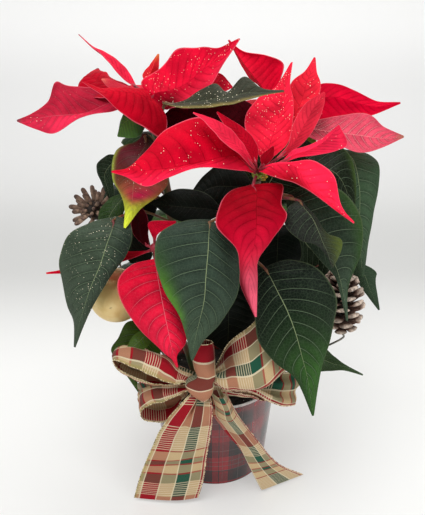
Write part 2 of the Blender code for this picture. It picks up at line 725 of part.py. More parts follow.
def drooping(base, angle, length, width, lift, droop):
    """Rows of a plain pointed blade that leaves its base at lift and bends down to droop."""
    out = compass(angle)
    side = compass(angle + 90)
    shape = ((0.18, 0.72), (0.46, 1.0), (0.78, 0.52))
    rows = [base]
    place = base.copy()
    before = 0
    for share, wide in shape:
        tilt = math.radians(lift - (lift + droop) * (share + before) / 2)
        place = place + (out * math.cos(tilt) + Vector((0, 0, math.sin(tilt)))) * length * (share - before)
        sag = Vector((0, 0, -0.22 * wide * width / 2)) - out * 0.05 * width * wide
        half = side * width / 2 * wide
        rows.append((place - half + sag, place.copy(), place + half + sag))
        before = share
    tilt = math.radians(-droop)
    rows.append(place + (out * math.cos(tilt) + Vector((0, 0, math.sin(tilt)))) * length * (1 - before))
    return rows


def at_height(way, height):
    """The point of a stem at this height."""
    points = [Vector(p) for p in way]
    low, high = 0.0, 1.0
    for _ in range(24):
        half = (low + high) / 2
        if smooth_way(points, half).z < height:
            low = half
        else:
            high = half
    return smooth_way(points, low)


def make_pot(group, mat):
    """The cover pot, turned: a sloping wall with a small rolled rim and a flat base."""
    rim_in = POT_RIM_RADIUS - POT_WALL
    slope = (POT_RIM_RADIUS - POT_BASE_RADIUS) / POT_HEIGHT
    profile = [
        (rim_in, POT_HEIGHT - 0.6),
        (rim_in + 0.7, POT_HEIGHT),
        (POT_RIM_RADIUS - 0.4, POT_HEIGHT),
        (POT_RIM_RADIUS, POT_HEIGHT - 0.8),
        (POT_RIM_RADIUS - 0.1, POT_HEIGHT - 2.2),
        (POT_RIM_RADIUS - 0.9, POT_HEIGHT - 3),
        (POT_BASE_RADIUS + 3 * slope, 3),
        (POT_BASE_RADIUS, 2.2),
        (POT_BASE_RADIUS, 0),
        (0, 0),
        (0, POT_FLOOR),
        (POT_BASE_RADIUS - POT_WALL, POT_FLOOR),
        (rim_in, POT_HEIGHT - 0.6),
    ]
    return turned("pot", profile, POT_STEPS, group, mat)


def turned(name, profile, steps, group, mat):
    """A body turned about the pot's axis from (radius, height) points."""
    bm = bmesh.new()
    verts = [bm.verts.new((r, 0, z)) for r, z in profile]
    edges = [bm.edges.new(pair) for pair in zip(verts, verts[1:])]
    bmesh.ops.spin(bm, geom=verts + edges, cent=(0, 0, 0), axis=(0, 0, 1),
                   angle=math.tau, steps=steps, use_merge=False)
    bmesh.ops.remove_doubles(bm, verts=bm.verts, dist=1e-3)
    return object_from(name, bm, group, mat)


def make_soil(feet, group, mat):
    """The soil inside the pot, with a plain hole for each stem and pick."""
    slope = (POT_RIM_RADIUS - POT_BASE_RADIUS) / POT_HEIGHT
    low, high = POT_FLOOR + GAP, SOIL_TOP
    inside = POT_BASE_RADIUS - POT_WALL - GAP - 0.2
    bm = bmesh.new()
    bmesh.ops.create_cone(bm, cap_ends=True, segments=32, radius1=inside + low * slope,
                          radius2=inside + high * slope, depth=high - low)
    bmesh.ops.translate(bm, vec=(0, 0, (low + high) / 2), verts=bm.verts)
    soil = object_from("soil", bm, group, mat)
    holes = new_collection("holes")
    for i, (x, y, radius, depth) in enumerate(feet):
        bm = bmesh.new()
        wide = (radius + GAP) * HOLE_SPREAD
        bmesh.ops.create_cone(bm, cap_ends=True, segments=6, radius1=wide, radius2=wide, depth=depth + 4)
        bmesh.ops.translate(bm, vec=(x, y, SOIL_TOP - depth / 2 + 2), verts=bm.verts)
        hole = object_from(f"hole_{i}", bm, holes, mat)
        hole.hide_render = True
        hole.display_type = "WIRE"
    cut = soil.modifiers.new("holes", "BOOLEAN")
    cut.operation = "DIFFERENCE"
    cut.operand_type = "COLLECTION"
    cut.collection = holes
    return soil


def make_hub(name, centre, radius, group, mat):
    bm = bmesh.new()
    bmesh.ops.create_icosphere(bm, subdivisions=2, radius=radius)
    bmesh.ops.translate(bm, vec=centre, verts=bm.verts)
    return object_from(name, bm, group, mat)


def stem_radius(key):
    return STEM_RADIUS if key in FLOWERS else SHOOT_RADIUS


def stem_top(key):
    return Vector(STEMS[key][-1])


def hub_centre(key):
    return stem_top(key) + Vector((0, 0, GAP + HUB_RADIUS))


def make_bloom(key, group, mat):
    """The red bracts of one bloom, on short stalks round its hub."""
    centre = hub_centre(key)
    pieces = [make_hub(f"bracts_{key}", centre, HUB_RADIUS, group, mat)]
    blades = {name: as_seen(rows) for name, rows in BRACTS[key].items()}
    for i, (angle, length, width, droop) in enumerate(BACK_BRACTS.get(key, [])):
        base = centre + compass(angle) * 9 + Vector((0, 0, 1))
        blades[f"back_{i}"] = drooping(base, angle, length, width, 14, droop)
    for name, rows in blades.items():
        pieces.append(blade(f"{key}_{name}", rows, group, mat))
        stalk = [centre, smooth_way(rails(rows)[1], 0.06)]
        pieces.append(tube(f"{key}_{name}_stalk", stalk, STALK_RADIUS, 4, group, mat))
    return joined(f"bracts_{key}", pieces, mat, group)


def make_stem(key, group, mat):
    """One stem with its leaves, each on its petiole."""
    way = [Vector(p) for p in STEMS[key]]
    foot = Vector((way[0].x, way[0].y, SOIL_TOP - HOLE_DEPTH + GAP))
    pieces = [tube(f"stem_{key}", [foot] + smooth_line(way, 7), stem_radius(key), 8, group, mat)]
    leaves = {name: (height, [seen(*p) for p in via], as_seen(rows))
              for name, (height, via, rows) in LEAVES[key].items()}
    for i, (height, angle, reach, length, width, droop) in enumerate(BACK_LEAVES.get(key, [])):
        start = at_height(way, height)
        base = start + compass(angle) * reach + Vector((0, 0, 0.3 * reach))
        via = [start + compass(angle) * reach * 0.5 + Vector((0, 0, 0.24 * reach))]
        leaves[f"back_{i}"] = (height, via, drooping(base, angle, length, width, 5, droop))
    for name, (height, via, rows) in leaves.items():
        pieces.append(blade(f"{key}_{name}", rows, group, mat))
        start = at_height(way, height)
        way_out = smooth_line([start] + via + [smooth_way(rails(rows)[1], 0.06)], 3 if via else 1)
        pieces.append(tube(f"{key}_{name}_petiole", way_out, PETIOLE_RADIUS, 4, group, mat))
    return joined(f"leafy_stem_{key}", pieces, mat, group)


def ribbon(name, near, far, group, mat):
    """A thin band of ribbon between its two edges."""
    near = [seen(*p) for p in near]
    far = [seen(*p) for p in far]
    bm = bmesh.new()
    bmesh.ops.create_grid(bm, x_segments=2, y_segments=len(near) * 3 // 2, size=1)
    for vert in bm.verts:
        along = (vert.co.y + 1) / 2
        across = (vert.co.x + 1) / 2
        vert.co = smooth_way(near, along).lerp(smooth_way(far, along), across)
    bmesh.ops.triangulate(bm, faces=bm.faces, quad_method="FIXED")
    bmesh.ops.recalc_face_normals(bm, faces=bm.faces)
    bmesh.ops.solidify(bm, geom=bm.faces[:], thickness=RIBBON_THICKNESS)
    return object_from(name, bm, group, mat)


def make_knot(group, mat):
    """The gathered middle of the bow, with the small centre loop above it."""
    bm = bmesh.new()
    rings = []
    sides = 10
    for middle, wide, deep in KNOT:
        centre = seen(*middle)
        rings.append([bm.verts.new(centre + Vector((wide * 0.85 * math.cos(a), deep * math.sin(a), 0)))
                      for a in (math.tau * i / sides for i in range(sides))])
    for low, high in zip(rings, rings[1:]):
        for i in range(sides):
            j = (i + 1) % sides
            bm.faces.new((low[i], low[j], high[j], high[i]))
    bm.faces.new(rings[0])
    bm.faces.new(rings[-1])
    bmesh.ops.triangulate(bm, faces=bm.faces)
    return object_from("bow_knot", bm, group, mat)


def make_cone(name, group, mat):
    """A pine cone: a slim core with open woody scales set round it in a spiral."""
    low, high, radius, count = CONES[name]
    base, tip = seen(*low), seen(*high)
    axis = tip - base
    length = axis.length
    turn = axis.to_track_quat("Z", "Y").to_matrix()
    bm = bmesh.new()
    bmesh.ops.create_uvsphere(bm, u_segments=8, v_segments=6, radius=1)
    bmesh.ops.scale(bm, vec=(radius * 0.36, radius * 0.36, length * 0.47), verts=bm.verts)
    bmesh.ops.translate(bm, vec=(0, 0, length * 0.47), verts=bm.verts)
    bmesh.ops.rotate(bm, cent=(0, 0, 0), matrix=turn, verts=bm.verts)
    bmesh.ops.translate(bm, vec=base, verts=bm.verts)
    pieces = [object_from(name, bm, group, mat)]
    for i in range(count):
        share = (i + 0.5) / count
        girth = math.sin(math.pi * (0.16 + 0.78 * share)) ** 0.8
        reach = radius * girth
        lift = math.radians(-8 + 66 * share)
        bm = bmesh.new()
        bmesh.ops.create_cube(bm, size=1)
        for vert in bm.verts:
            out = vert.co.x + 0.5
            width = (2.6 + 4.4 * out) * (0.55 + 0.45 * girth)
            thick = 1.6 + 0.8 * out
            vert.co = Vector((1.5 + (reach - 1.5) * out, vert.co.y * width, vert.co.z * thick))
        bmesh.ops.rotate(bm, cent=(0, 0, 0), matrix=Matrix.Rotation(-lift, 3, "Y"), verts=bm.verts)
        bmesh.ops.rotate(bm, cent=(0, 0, 0), matrix=Matrix.Rotation(i * 2.39996, 3, "Z"), verts=bm.verts)
        bmesh.ops.translate(bm, vec=(0, 0, length * (0.08 + 0.72 * share)), verts=bm.verts)
        bmesh.ops.rotate(bm, cent=(0, 0, 0), matrix=turn, verts=bm.verts)
        bmesh.ops.translate(bm, vec=base, verts=bm.verts)
        pieces.append(object_from(f"{name}_scale_{i}", bm, group, mat))
    return joined(name, pieces, mat, group)


def held_ends():
    """The end of each pick, just clear of what it holds, and the way that it leaves."""
    ends = {"bow_pick": (Vector(KNOT_BACK), Vector((0, 1, -0.4)))}
    for name, (low, high, _, _) in CONES.items():
        base, tip = seen(*low), seen(*high)
        away = (base - tip).normalized()
        ends[name + "_pick"] = (base + away * GAP, away)
    centre, down = bauble_pose()
    ends["bauble_pick"] = (centre + down * (BAUBLE_RADIUS + CAP_HEIGHT / 2 + GAP), down)
    return ends


def make_pick(name, end, away, group, mat):
    """A wire that leaves what it holds straight and bends down into its hole in the soil."""
    way = [end, end + away * 6] + [Vector(p) for p in PICKS[name]]
    foot = Vector((way[-1].x, way[-1].y, SOIL_TOP - WIRE_DEPTH + GAP))
    return tube(name, smooth_line(way, 7) + [foot], WIRE_RADIUS, 6, group, mat)


def bauble_pose():
    """The middle of the bauble, and the way that its cap faces."""
    centre = seen(*BAUBLE_AT)
    return centre, (Vector(PICKS["bauble_pick"][0]) - centre).normalized()


def make_bauble(group, mat):
    """A light solid ball with a small cap, turned towards the pick that holds it."""
    centre, down = bauble_pose()
    bm = bmesh.new()
    bmesh.ops.create_uvsphere(bm, u_segments=16, v_segments=10, radius=BAUBLE_RADIUS)
    bmesh.ops.translate(bm, vec=centre, verts=bm.verts)
    ball = object_from("bauble", bm, group, mat)
    bm = bmesh.new()
    bmesh.ops.create_cone(bm, cap_ends=True, segments=10, radius1=CAP_RADIUS, radius2=CAP_RADIUS * 0.85,
                          depth=CAP_HEIGHT)
    bmesh.ops.rotate(bm, cent=(0, 0, 0), matrix=down.to_track_quat("Z", "Y").to_matrix(), verts=bm.verts)
    bmesh.ops.translate(bm, vec=centre + down * BAUBLE_RADIUS, verts=bm.verts)
    cap = object_from("bauble_cap", bm, group, mat)
    return joined("bauble", [ball, cap], mat, group)


def make_flowers(key, group, mat):
    """The cluster of small round flower cups in the middle of a bloom."""
    *facing, count, radius = FLOWERS[key]
    away = Vector(facing).normalized()
    foot = hub_centre(key) + away * (HUB_RADIUS + GAP)
    turn = away.to_track_quat("Z", "Y").to_matrix()
    places = [(0, 0, 1.6)] + [(1.45 * math.cos(a), 1.45 * math.sin(a), 1.1)
                              for a in (math.tau * i / count for i in range(count))]
    pieces = []
    for i, place in enumerate(places):
        x, y, z = Vector(place) * radius
        bm = bmesh.new()
        bmesh.ops.create_icosphere(bm, subdivisions=1, radius=radius)
        bmesh.ops.scale(bm, vec=(1, 1, 1.25), verts=bm.verts)
        bmesh.ops.translate(bm, vec=(x, y, z), verts=bm.verts)
        bmesh.ops.rotate(bm, cent=(0, 0, 0), matrix=turn, verts=bm.verts)
        bmesh.ops.translate(bm, vec=foot, verts=bm.verts)
        pieces.append(object_from(f"flowers_{key}_{i}", bm, group, mat))
    return joined(f"flowers_{key}", pieces, mat, group)


def main():
    clear_scene()
    group = new_collection("poinsettia")
    green = material("leaf green", (0.03, 0.09, 0.03), 0.5)
    red = material("bract red", (0.6, 0.01, 0.03), 0.5)
    tartan = material("pot", (0.25, 0.03, 0.04), 0.25)
    earth = material("soil", (0.02, 0.015, 0.01), 0.9)
    yellow = material("flower yellow-green", (0.45, 0.5, 0.08), 0.5)
    cloth = material("tartan ribbon", (0.45, 0.2, 0.12), 0.6)
    wood = material("cone brown", (0.16, 0.1, 0.06), 0.8)
    gold = material("matt gold", (0.7, 0.5, 0.2), 0.4, 0.6)
    steel = material("steel wire", (0.3, 0.3, 0.3), 0.35, 1.0)
    make_pot(group, tartan)
    feet = [(*way[0][:2], stem_radius(key), HOLE_DEPTH) for key, way in STEMS.items()]
    feet += [(*way[-1][:2], WIRE_RADIUS, WIRE_DEPTH) for way in PICKS.values()]
    make_soil(feet, group, earth)
    for key in STEMS:
        make_stem(key, group, green)
    for key in BRACTS:
        make_bloom(key, group, red)
    for key in FLOWERS:
        make_flowers(key, group, yellow)
    for name, (near, far) in RIBBON.items():
        ribbon(name, near, far, group, cloth)
    make_knot(group, cloth)
    for name in CONES:
        make_cone(name, group, wood)
    make_bauble(group, gold)
    for name, (end, away) in held_ends().items():
        make_pick(name, end, away, group, steel)


main()
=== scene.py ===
"""Looks of the potted poinsettia: bracts, leaves, flowers, bow, cones, bauble, pot and soil.

Millimetres in the tables, metres in the meshes. +Z is up, -Y is the front and the
origin is on the floor under the middle of the pot.

The leaves, bracts and bow are set out as they are seen from the front, as in the
part's own source. A point is (across, up, forward): where it shows on the upright
plane through the pot's axis for an eye at EYE, and how far it stands in front of it.
"""
import functools
import math
import random

import bpy
from mathutils import Matrix, Vector, noise


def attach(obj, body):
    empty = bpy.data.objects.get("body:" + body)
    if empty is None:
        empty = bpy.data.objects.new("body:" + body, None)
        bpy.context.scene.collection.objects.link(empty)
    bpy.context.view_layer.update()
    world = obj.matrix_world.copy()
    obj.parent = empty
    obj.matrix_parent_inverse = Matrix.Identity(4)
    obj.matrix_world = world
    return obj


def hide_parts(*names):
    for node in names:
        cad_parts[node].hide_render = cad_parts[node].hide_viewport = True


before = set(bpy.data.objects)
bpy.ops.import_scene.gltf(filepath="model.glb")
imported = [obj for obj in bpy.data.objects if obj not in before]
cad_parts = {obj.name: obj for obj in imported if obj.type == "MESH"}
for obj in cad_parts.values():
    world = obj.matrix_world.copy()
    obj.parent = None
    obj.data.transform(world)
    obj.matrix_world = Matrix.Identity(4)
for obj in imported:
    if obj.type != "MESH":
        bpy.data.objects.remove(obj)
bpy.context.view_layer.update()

MM = 0.001
UP = Vector((0, 0, 1))
GAP = 0.3
EYE = Vector((-1.6, -470, 400))
LOOK_DOWN = 22.17
LENS = 40.46

POT_HEIGHT = 93
POT_RIM_RADIUS = 59
POT_BASE_RADIUS = 49.5
POT_WALL = 1.8
POT_FLOOR = 2.4
POT_SLOPE = (POT_RIM_RADIUS - POT_BASE_RADIUS) / POT_HEIGHT
SOIL_TOP = 83
HOLE_TOP = SOIL_TOP + 2
HOLE_DEPTH = 24

STEM_RADIUS = 3.4
SHOOT_RADIUS = 2.6
PETIOLE_RADIUS = 1.15
STALK_RADIUS = 1.3
HUB_RADIUS = 4.2
STAMEN_RADIUS = 0.28

# How high a blade swells, as shares of its width: whole, between veins, and at its edge, which
# ripples by so many radians along the blade
BLADE_PUFF = 0.07
QUILT_HEIGHT = 0.04
RIPPLE_HEIGHT = 0.022
RIPPLES = 31
BLADE_THICKNESS = 0.5
TIP_WIDTH = 1.4
SIDE_VEINS = 13
VEIN_SWEEP = 0.17
VEIN_BEND = 1.25
# How far the veins of the second half are shifted against those of the first
VEIN_SHIFT = 0.4
# Faces across and along a blade with many rows, and with few
BIG_STEPS = (24, 60)
SMALL_STEPS = (16, 36)

RIBBON_WIDTH = 50.8
RIBBON_THICKNESS = 0.35
# How many faces the cloth has across, their length along it, and that of a stretch of wire
CLOTH_ACROSS = 24
CLOTH_STEP = 1.7
EDGE_STEP = 0.55
# The beaded wire in its edges: its radius, how much that swells, and radians to a millimetre
EDGE_RADIUS = 0.4
BEAD_SWELL = 0.16
BEADS = 3
# How far from the knot a tail is drawn together, the stretch of its width that hides in the
# pleat there, and how deep that pleat is
TAIL_DRAWN = 24
TAIL_HIDDEN = (0.35, 0.57)
TAIL_PLEAT = 7
# How many pleats a loop has across it, and how much of the ribbon's width goes into them
PLEATS = 2
PLEATED_SHARE = 0.92
# Points at which the length of a piece is measured
RUN_MARKS = 240
# Where painted shade darkens the cloth most, right of the knot
DEEPEST_PAINTED_SHADE = (8, 110, 70)
# The share of the right tail's width that is folded back
ROLL_SHARE = 0.335
WIRE_RADIUS = 0.9
WIRE_DEPTH = 20
BAUBLE_RADIUS = 23.2
CAP_RADIUS = 4
CAP_HEIGHT = 6

RED = (206, 3, 38)
BRIGHT = (230, 18, 54)
DEEP = (176, 0, 30)
MAROON = (60, 2, 12)
GREEN = (30, 52, 22)
BLUE_GREEN = (28, 44, 34)
# Painted sheen: the greyish green of the gloss on the lower part of the big front leaf
MID_GREEN = (58, 88, 40)
SHEEN_GREY_GREEN = (64, 82, 62)
# Painted shade: the near-black green of the inner leaves, deep in the plant's shade
INNER_SHADE_GREEN = (0, 12, 3)
CREAM = (234, 220, 186)
TAN = (216, 188, 142)
TEAL = (30, 88, 66)
SCARLET = (166, 0, 28)
WINE = (74, 6, 14)
POT_RED = (152, 12, 26)
CHARCOAL = (12, 9, 10)
PALE_LINE = (98, 86, 84)
RIM_WHITE = (226, 222, 218)
CORE_BROWN = (38, 28, 22)
CUP_GREEN = (140, 160, 50)
CUP_RED = (176, 60, 30)
STAMEN_YELLOW = (214, 180, 40)
GLITTER = (255, 244, 214)


def srgb(red, green, blue):
    """A colour as on screen, 0 to 255, in the numbers that a shader takes."""
    return tuple(((part / 255 + 0.055) / 1.055) ** 2.4 for part in (red, green, blue))


def look(ground, *marks, **traits):
    """A blade's colour and the marks on it, with how much of each trait it shows.

    A mark is a colour, its place across (0 is the first edge) and along (0 is the base)
    and how far it spreads each way.
    """
    marks = [(srgb(*colour), *spread) for colour, *spread in marks]
    return {"ground": srgb(*ground), "marks": marks, **traits}


def seen(across, up, forward):
    """The place that shows at (across, up) on the plane, this far in front of it."""
    share = 1 + forward / EYE.y
    return Vector((EYE.x + (across - EYE.x) * share, -forward, EYE.z + (up - EYE.z) * share))


# Stems: the way of each from the soil to its top, in millimetres
STEMS = {
    "a": [(-14, 8, HOLE_TOP), (-20, 7, 140), (-35, 1, 240), (-50.5, -3, 341)],
    "b": [(11, -12, HOLE_TOP), (17, -17, 140), (26, -29, 220), (32.4, -37, 288)],
    "c": [(18, 16, HOLE_TOP), (26, 20, 150), (40, 27, 240), (49, 31, 324)],
    "d": [(-16, -14, HOLE_TOP), (-25, -23, 130), (-39, -36, 190), (-47, -44, 230)],
    "e": [(34, 2, HOLE_TOP), (42, 2, 130), (52, -2, 180), (60, -6, 222)],
}
# The small yellow-green flowers of each bloom: the way they face from its hub,
# how many stand round the middle one, and their radius
FLOWERS = {"a": (0.1, 0.6, 0.9, 3, 1.2), "b": (0.75, -0.75, -0.15, 4, 1.5), "c": (0.6, 0.6, 0.9, 4, 1.5)}

# The red bracts of each bloom: its look, and its rows from base to tip. The first and last
# are points. Each row between them is a point of one edge, of the midrib and of the other edge.
BRACTS = {"a": {
    "far_left": (look((172, 28, 52), ((232, 44, 78), 0.9, 0.5, 0.36, 0.6),
        ((100, 70, 74), 0.5, 1, 0.6, 0.04), glitter=0.25, vein=1.2, light=0.3),
        (-61, 344, -4), (-84, 351, -14, -82, 340.5, -2, -80, 334.3, 6),
        (-112, 353, -16, -103, 332.5, 0, -100, 331.3, 8), (-124, 356, -14, -118, 331, 4, -114, 325.3, 12),
        (-132, 341, -6, -131, 330, 6, -129, 316.5, 16), (-146, 332, 6, -146, 327.5, 10, -143, 319.5, 14),
        (-158, 326.5, 14)),
    "arching": (look(DEEP, ((100, 80, 80), 0.5, 1, 0.6, 0.06)),
        (-60, 349, -10), (-72, 356, -24, -74, 352, -16, -76, 345, -9),
        (-80, 359, -34, -88, 356, -26, -98, 346, -15), (-84, 363.5, -48, -97, 361, -38, -107, 352, -25),
        (-88, 364.5, -58, -94, 364, -52, -101, 360, -44), (-90.5, 366.5, -64)),
    "young_left": (look((204, 44, 62), ((220, 110, 96), 0.5, 1, 0.6, 0.2)),
        (-60, 350, 2), (-72, 354.5, -2, -72, 352.5, 2, -73, 351, 5),
        (-82, 358.5, -4, -82, 355.5, 1, -83, 352.5, 5), (-88, 358.5, 0)),
    # Painted shade: the dark mark on this bract's lower right side near its base.
    "front_left": (look((190, 0, 32), ((140, 0, 20), 0.9, 0.2, 0.4, 0.3)),
        (-51, 346, 8), (-53, 349.5, 8, -50, 342, 15, -38.5, 330.5, 22),
        (-58, 351.5, 6, -57, 346, 15, -42, 313, 26), (-70, 352.5, 8, -69, 348.5, 18, -60, 323.5, 32),
        (-80, 352, 10, -80, 349.5, 20, -74, 332.5, 32), (-90, 352, 14, -91, 350, 21, -87, 345, 28),
        (-103, 356.5, 22)),
    "spike": (look((226, 36, 66), ((100, 60, 64), 0.5, 1, 0.6, 0.05)),
        (-62, 353, -7), (-66, 363, -16, -68, 357.5, -10, -72, 359.5, -6),
        (-73, 371, -20, -76, 366.5, -12, -80, 369, -8), (-83, 378, -20, -85, 375, -14, -88, 378, -11),
        (-93, 382.5, -18, -94, 382, -16, -95, 383.3, -14), (-103, 391, -18)),
    "young_back": (look((224, 40, 50), ((220, 120, 60), 0.5, 1, 0.8, 0.16), glitter=0.7),
        (-49, 350, -14), (-56, 361, -26, -50, 361, -22, -44, 361, -26),
        (-50, 369, -29, -46.5, 369, -25, -43, 369, -29), (-43, 377, -31)),
    # Painted shadow: the near-black mark on this bract's lower half near its base, by the hub.
    "right": (look((214, 8, 46), ((232, 40, 70), 1, 0.6, 0.32, 0.6), ((84, 0, 10), 0.85, 0.3, 0.34, 0.14),
        glitter=0.5),
        (-50, 343.5, 8), (-57, 357, 4, -46, 348, 9, -39.5, 335.5, 3),
        (-41, 367, -24, -34, 350, 0, -32, 337, 10), (-30, 379.5, -32, -22, 355, -4, -18, 340, 8),
        (-12, 382, -30, -10, 364.5, -8, -4, 352, 5), (3, 381.7, -22, 2, 373, -10, 5, 367, -2),
        (19, 388, -12)),
    "low_right": (look((214, 30, 56), glitter=0.3),
        (-46, 343, -8), (-27, 352, -20, -24, 345, -12, -22, 336, -6),
        (-6, 362, -22, -6, 353, -15, -7, 342, -9), (5, 362.5, -20, 5, 356, -15, 4, 347, -10),
        (14, 352.5, -14)),
}, "b": {
    "far_left": (look((200, 2, 36), ((255, 36, 74), 0.95, 0.6, 0.3, 0.5), glitter=0.3),
        (32, 285, 46), (18, 317, 32, 16, 298, 48, 22, 286, 54),
        (-8, 329, 36, -12, 292.8, 60, -12, 288.5, 64), (-36, 321.5, 46, -38, 288, 74, -38, 280, 80),
        (-54, 304, 62, -58, 286, 82, -57, 272.5, 88), (-70, 289, 80, -72, 285.5, 87, -73, 280.5, 89),
        (-85, 285, 91)),
    "edge_on": (look((226, 36, 66)),
        (32, 289, 48), (20, 300, 60, 24, 301, 55, 28, 300, 50), (9, 308, 64, 15, 309, 57, 21, 311, 48),
        (0, 317.5, 64, 4, 319, 56, 11, 321.5, 48), (-9, 327, 60, -7, 328, 54, -2, 328.5, 50),
        (-17, 333, 54)),
    "short_dark": (look((180, 8, 34)),
        (34, 292, 43), (24, 304, 45, 29, 306, 42, 35, 306, 38), (12, 317, 44, 18, 319, 40, 25, 319.5, 35),
        (2, 333.5, 38)),
    "tall": (look((255, 36, 66), glitter=0.9),
        (41, 293, 38), (29, 311, 32, 45, 308, 36, 59, 308, 33), (24, 327, 20, 50, 326, 28, 62.7, 327, 26),
        (33, 343, 10, 54, 342, 21, 62, 344, 20), (48, 353, 6, 56.5, 355, 13, 59, 355, 14), (59.5, 371, 2)),
    "tall_behind": (look((236, 40, 62), glitter=0.9),
        (49, 299, 30), (52, 318, 18, 58, 318, 14, 66, 318, 18), (56, 340, 6, 68, 340, 0, 80, 338, 6),
        (60, 356, 0, 72, 356, -6, 83, 354, -2), (70, 364.5, -7, 75, 365, -9, 79.5, 363.5, -8),
        (77, 374.5, -14)),
    "narrow": (look((222, 42, 64), glitter=0.5),
        (52, 296, 38), (60, 308, 36, 64, 308.5, 35, 70, 307, 33), (63, 324, 31, 71, 321, 31, 80, 320, 27),
        (72, 340, 22, 79, 337, 24, 86, 336, 20), (86.5, 348.5, 18)),
    "folded_right": (look((250, 42, 80), glitter=0.3),
        (57, 294, 43), (64, 303, 42, 66, 299.5, 45, 69, 297, 46), (74, 306, 43, 77, 303, 49, 84, 299, 50),
        (85, 311, 45, 88, 309, 51, 101, 303, 50), (92, 316.5, 47, 94, 315, 51, 108, 308.5, 49),
        (100, 323, 50)),
    "low_right": (look((255, 34, 70), ((150, 0, 18), 1, 0.35, 0.4, 0.3), glitter=0.15),
        (37, 286.5, 45), (46, 291.5, 50, 49, 290.5, 54, 50, 280.5, 62),
        (64, 293.5, 48, 65, 290, 62, 64, 276.5, 72), (84, 293.5, 56, 76, 277.5, 74, 75, 271.5, 79),
        (100, 279.5, 66, 90, 264.8, 84, 88, 263, 86), (107, 256, 80, 104, 252.8, 88, 103, 251.5, 88),
        (119.5, 240.5, 90)),
    "hanging": (look((142, 0, 20), ((216, 6, 50), 0.5, 0.66, 0.8, 0.24),
        ((255, 106, 132), 0.6, 1, 0.8, 0.24), ((90, 0, 12), 0, 0.88, 0.2, 0.14), vein=1.2),
        (31.5, 274, 50), (12, 267.5, 62, 35.5, 267, 62, 56, 274.5, 57),
        (4, 254, 76, 35.5, 254, 76, 56.5, 258, 70), (2, 237, 84, 36, 239, 86, 61.5, 245, 80),
        (19, 217, 92, 35, 222, 94, 49, 224, 90), (22.5, 198, 94, 31, 203, 96, 38.5, 206, 95),
        (24, 181, 92, 32, 187, 95, 38.5, 187, 95), (38, 150, 90)),
    "young": (look((160, 10, 30)),
        (40, 290, 42), (38, 298, 40, 43, 298, 43, 48, 297, 41), (48, 306, 43)),
}, "c": {
    "top": (look((236, 12, 50), ((236, 50, 74), 0, 0.5, 0.42, 0.7)),
        (44, 336, -30), (37, 351, -36, 39, 350, -32, 51, 357, -26),
        (27, 359.5, -42, 30, 361, -36, 53, 370, -28), (20, 370, -45, 22, 371, -40, 40, 376, -33),
        (15, 379, -46, 16, 379, -44, 22, 379, -40), (10.5, 387, -48)),
    "far_right": (look((208, 0, 44)),
        (56, 334, -34), (76, 352, -42, 72, 340, -34, 70, 326, -30),
        (92, 355.5, -40, 92, 345, -32, 92, 328.5, -26), (109, 350.5, -34, 110, 341, -27, 112, 329, -22),
        (128, 342, -27, 128, 337.5, -23, 126, 331, -21), (147, 340.5, -22)),
    "shaded_left": (look(MAROON),
        (40, 330, -28), (22, 343, -30, 22, 334, -22, 22, 319, -16),
        (-2, 345, -28, -2, 333, -19, -2, 315, -13), (-28, 341, -22, -28, 328, -15, -28, 312, -11),
        (-52, 318, -12)),
    "pale_right": (look((222, 60, 84), ((80, 30, 30), 0.2, 0.1, 0.6, 0.22),
        ((170, 96, 74), 0.5, 1, 0.6, 0.06), light=0.9, vein=1.5, under=True),
        (57, 327, -22), (80, 327, -16, 80, 320, -8, 80, 312, -2),
        (102, 331, -13, 102, 317, -3, 100, 307, 4), (122, 332, -12, 120, 314.5, -2, 119, 301, 6),
        (136, 322, -8, 137, 312.5, -3, 135, 304.5, 2), (153, 314, -4)),
}, "d": {
    "big_hanging": (look((214, 14, 48), ((238, 36, 70), 0.3, 0.7, 0.4, 0.3), light=0.6),
        (-52, 207, 52), (-72, 201.5, 60, -51, 195, 64, -40, 196, 58),
        (-86, 186, 64, -49, 180, 72, -34, 183, 62), (-82, 160, 70, -46, 158, 77, -28, 163, 68),
        (-67, 135, 76, -43, 138, 82, -25, 141, 72), (-49, 114, 81, -40, 119, 85, -27, 122, 80),
        (-40, 104.5, 84, -37.5, 107, 85, -35, 109, 84), (-35, 96, 84)),
    "young": (look(BRIGHT),
        (-52, 225, 44), (-56, 241, 46, -50, 238, 48, -48, 231, 50), (-33, 241.5, 50)),
    "far_left": (look(RED),
        (-56, 215, 42), (-67, 214, 30, -68, 211.5, 38, -69, 209, 42),
        (-92, 214, 24, -93, 206, 34, -94, 200, 38), (-116, 207, 26, -117, 200, 34, -118, 194, 37),
        (-134, 197.3, 34, -134, 195.5, 36, -134, 193.2, 37), (-149, 193.3, 38)),
    # Painted shade: this bract is near-black maroon for the deep shade it stands in.
    "upright": (look(MAROON),
        (-58, 219, 42), (-69, 229, 38, -63, 229, 42, -57, 229, 40),
        (-71, 243, 34, -64, 244, 39, -57, 245, 36), (-64, 258, 33)),
}}
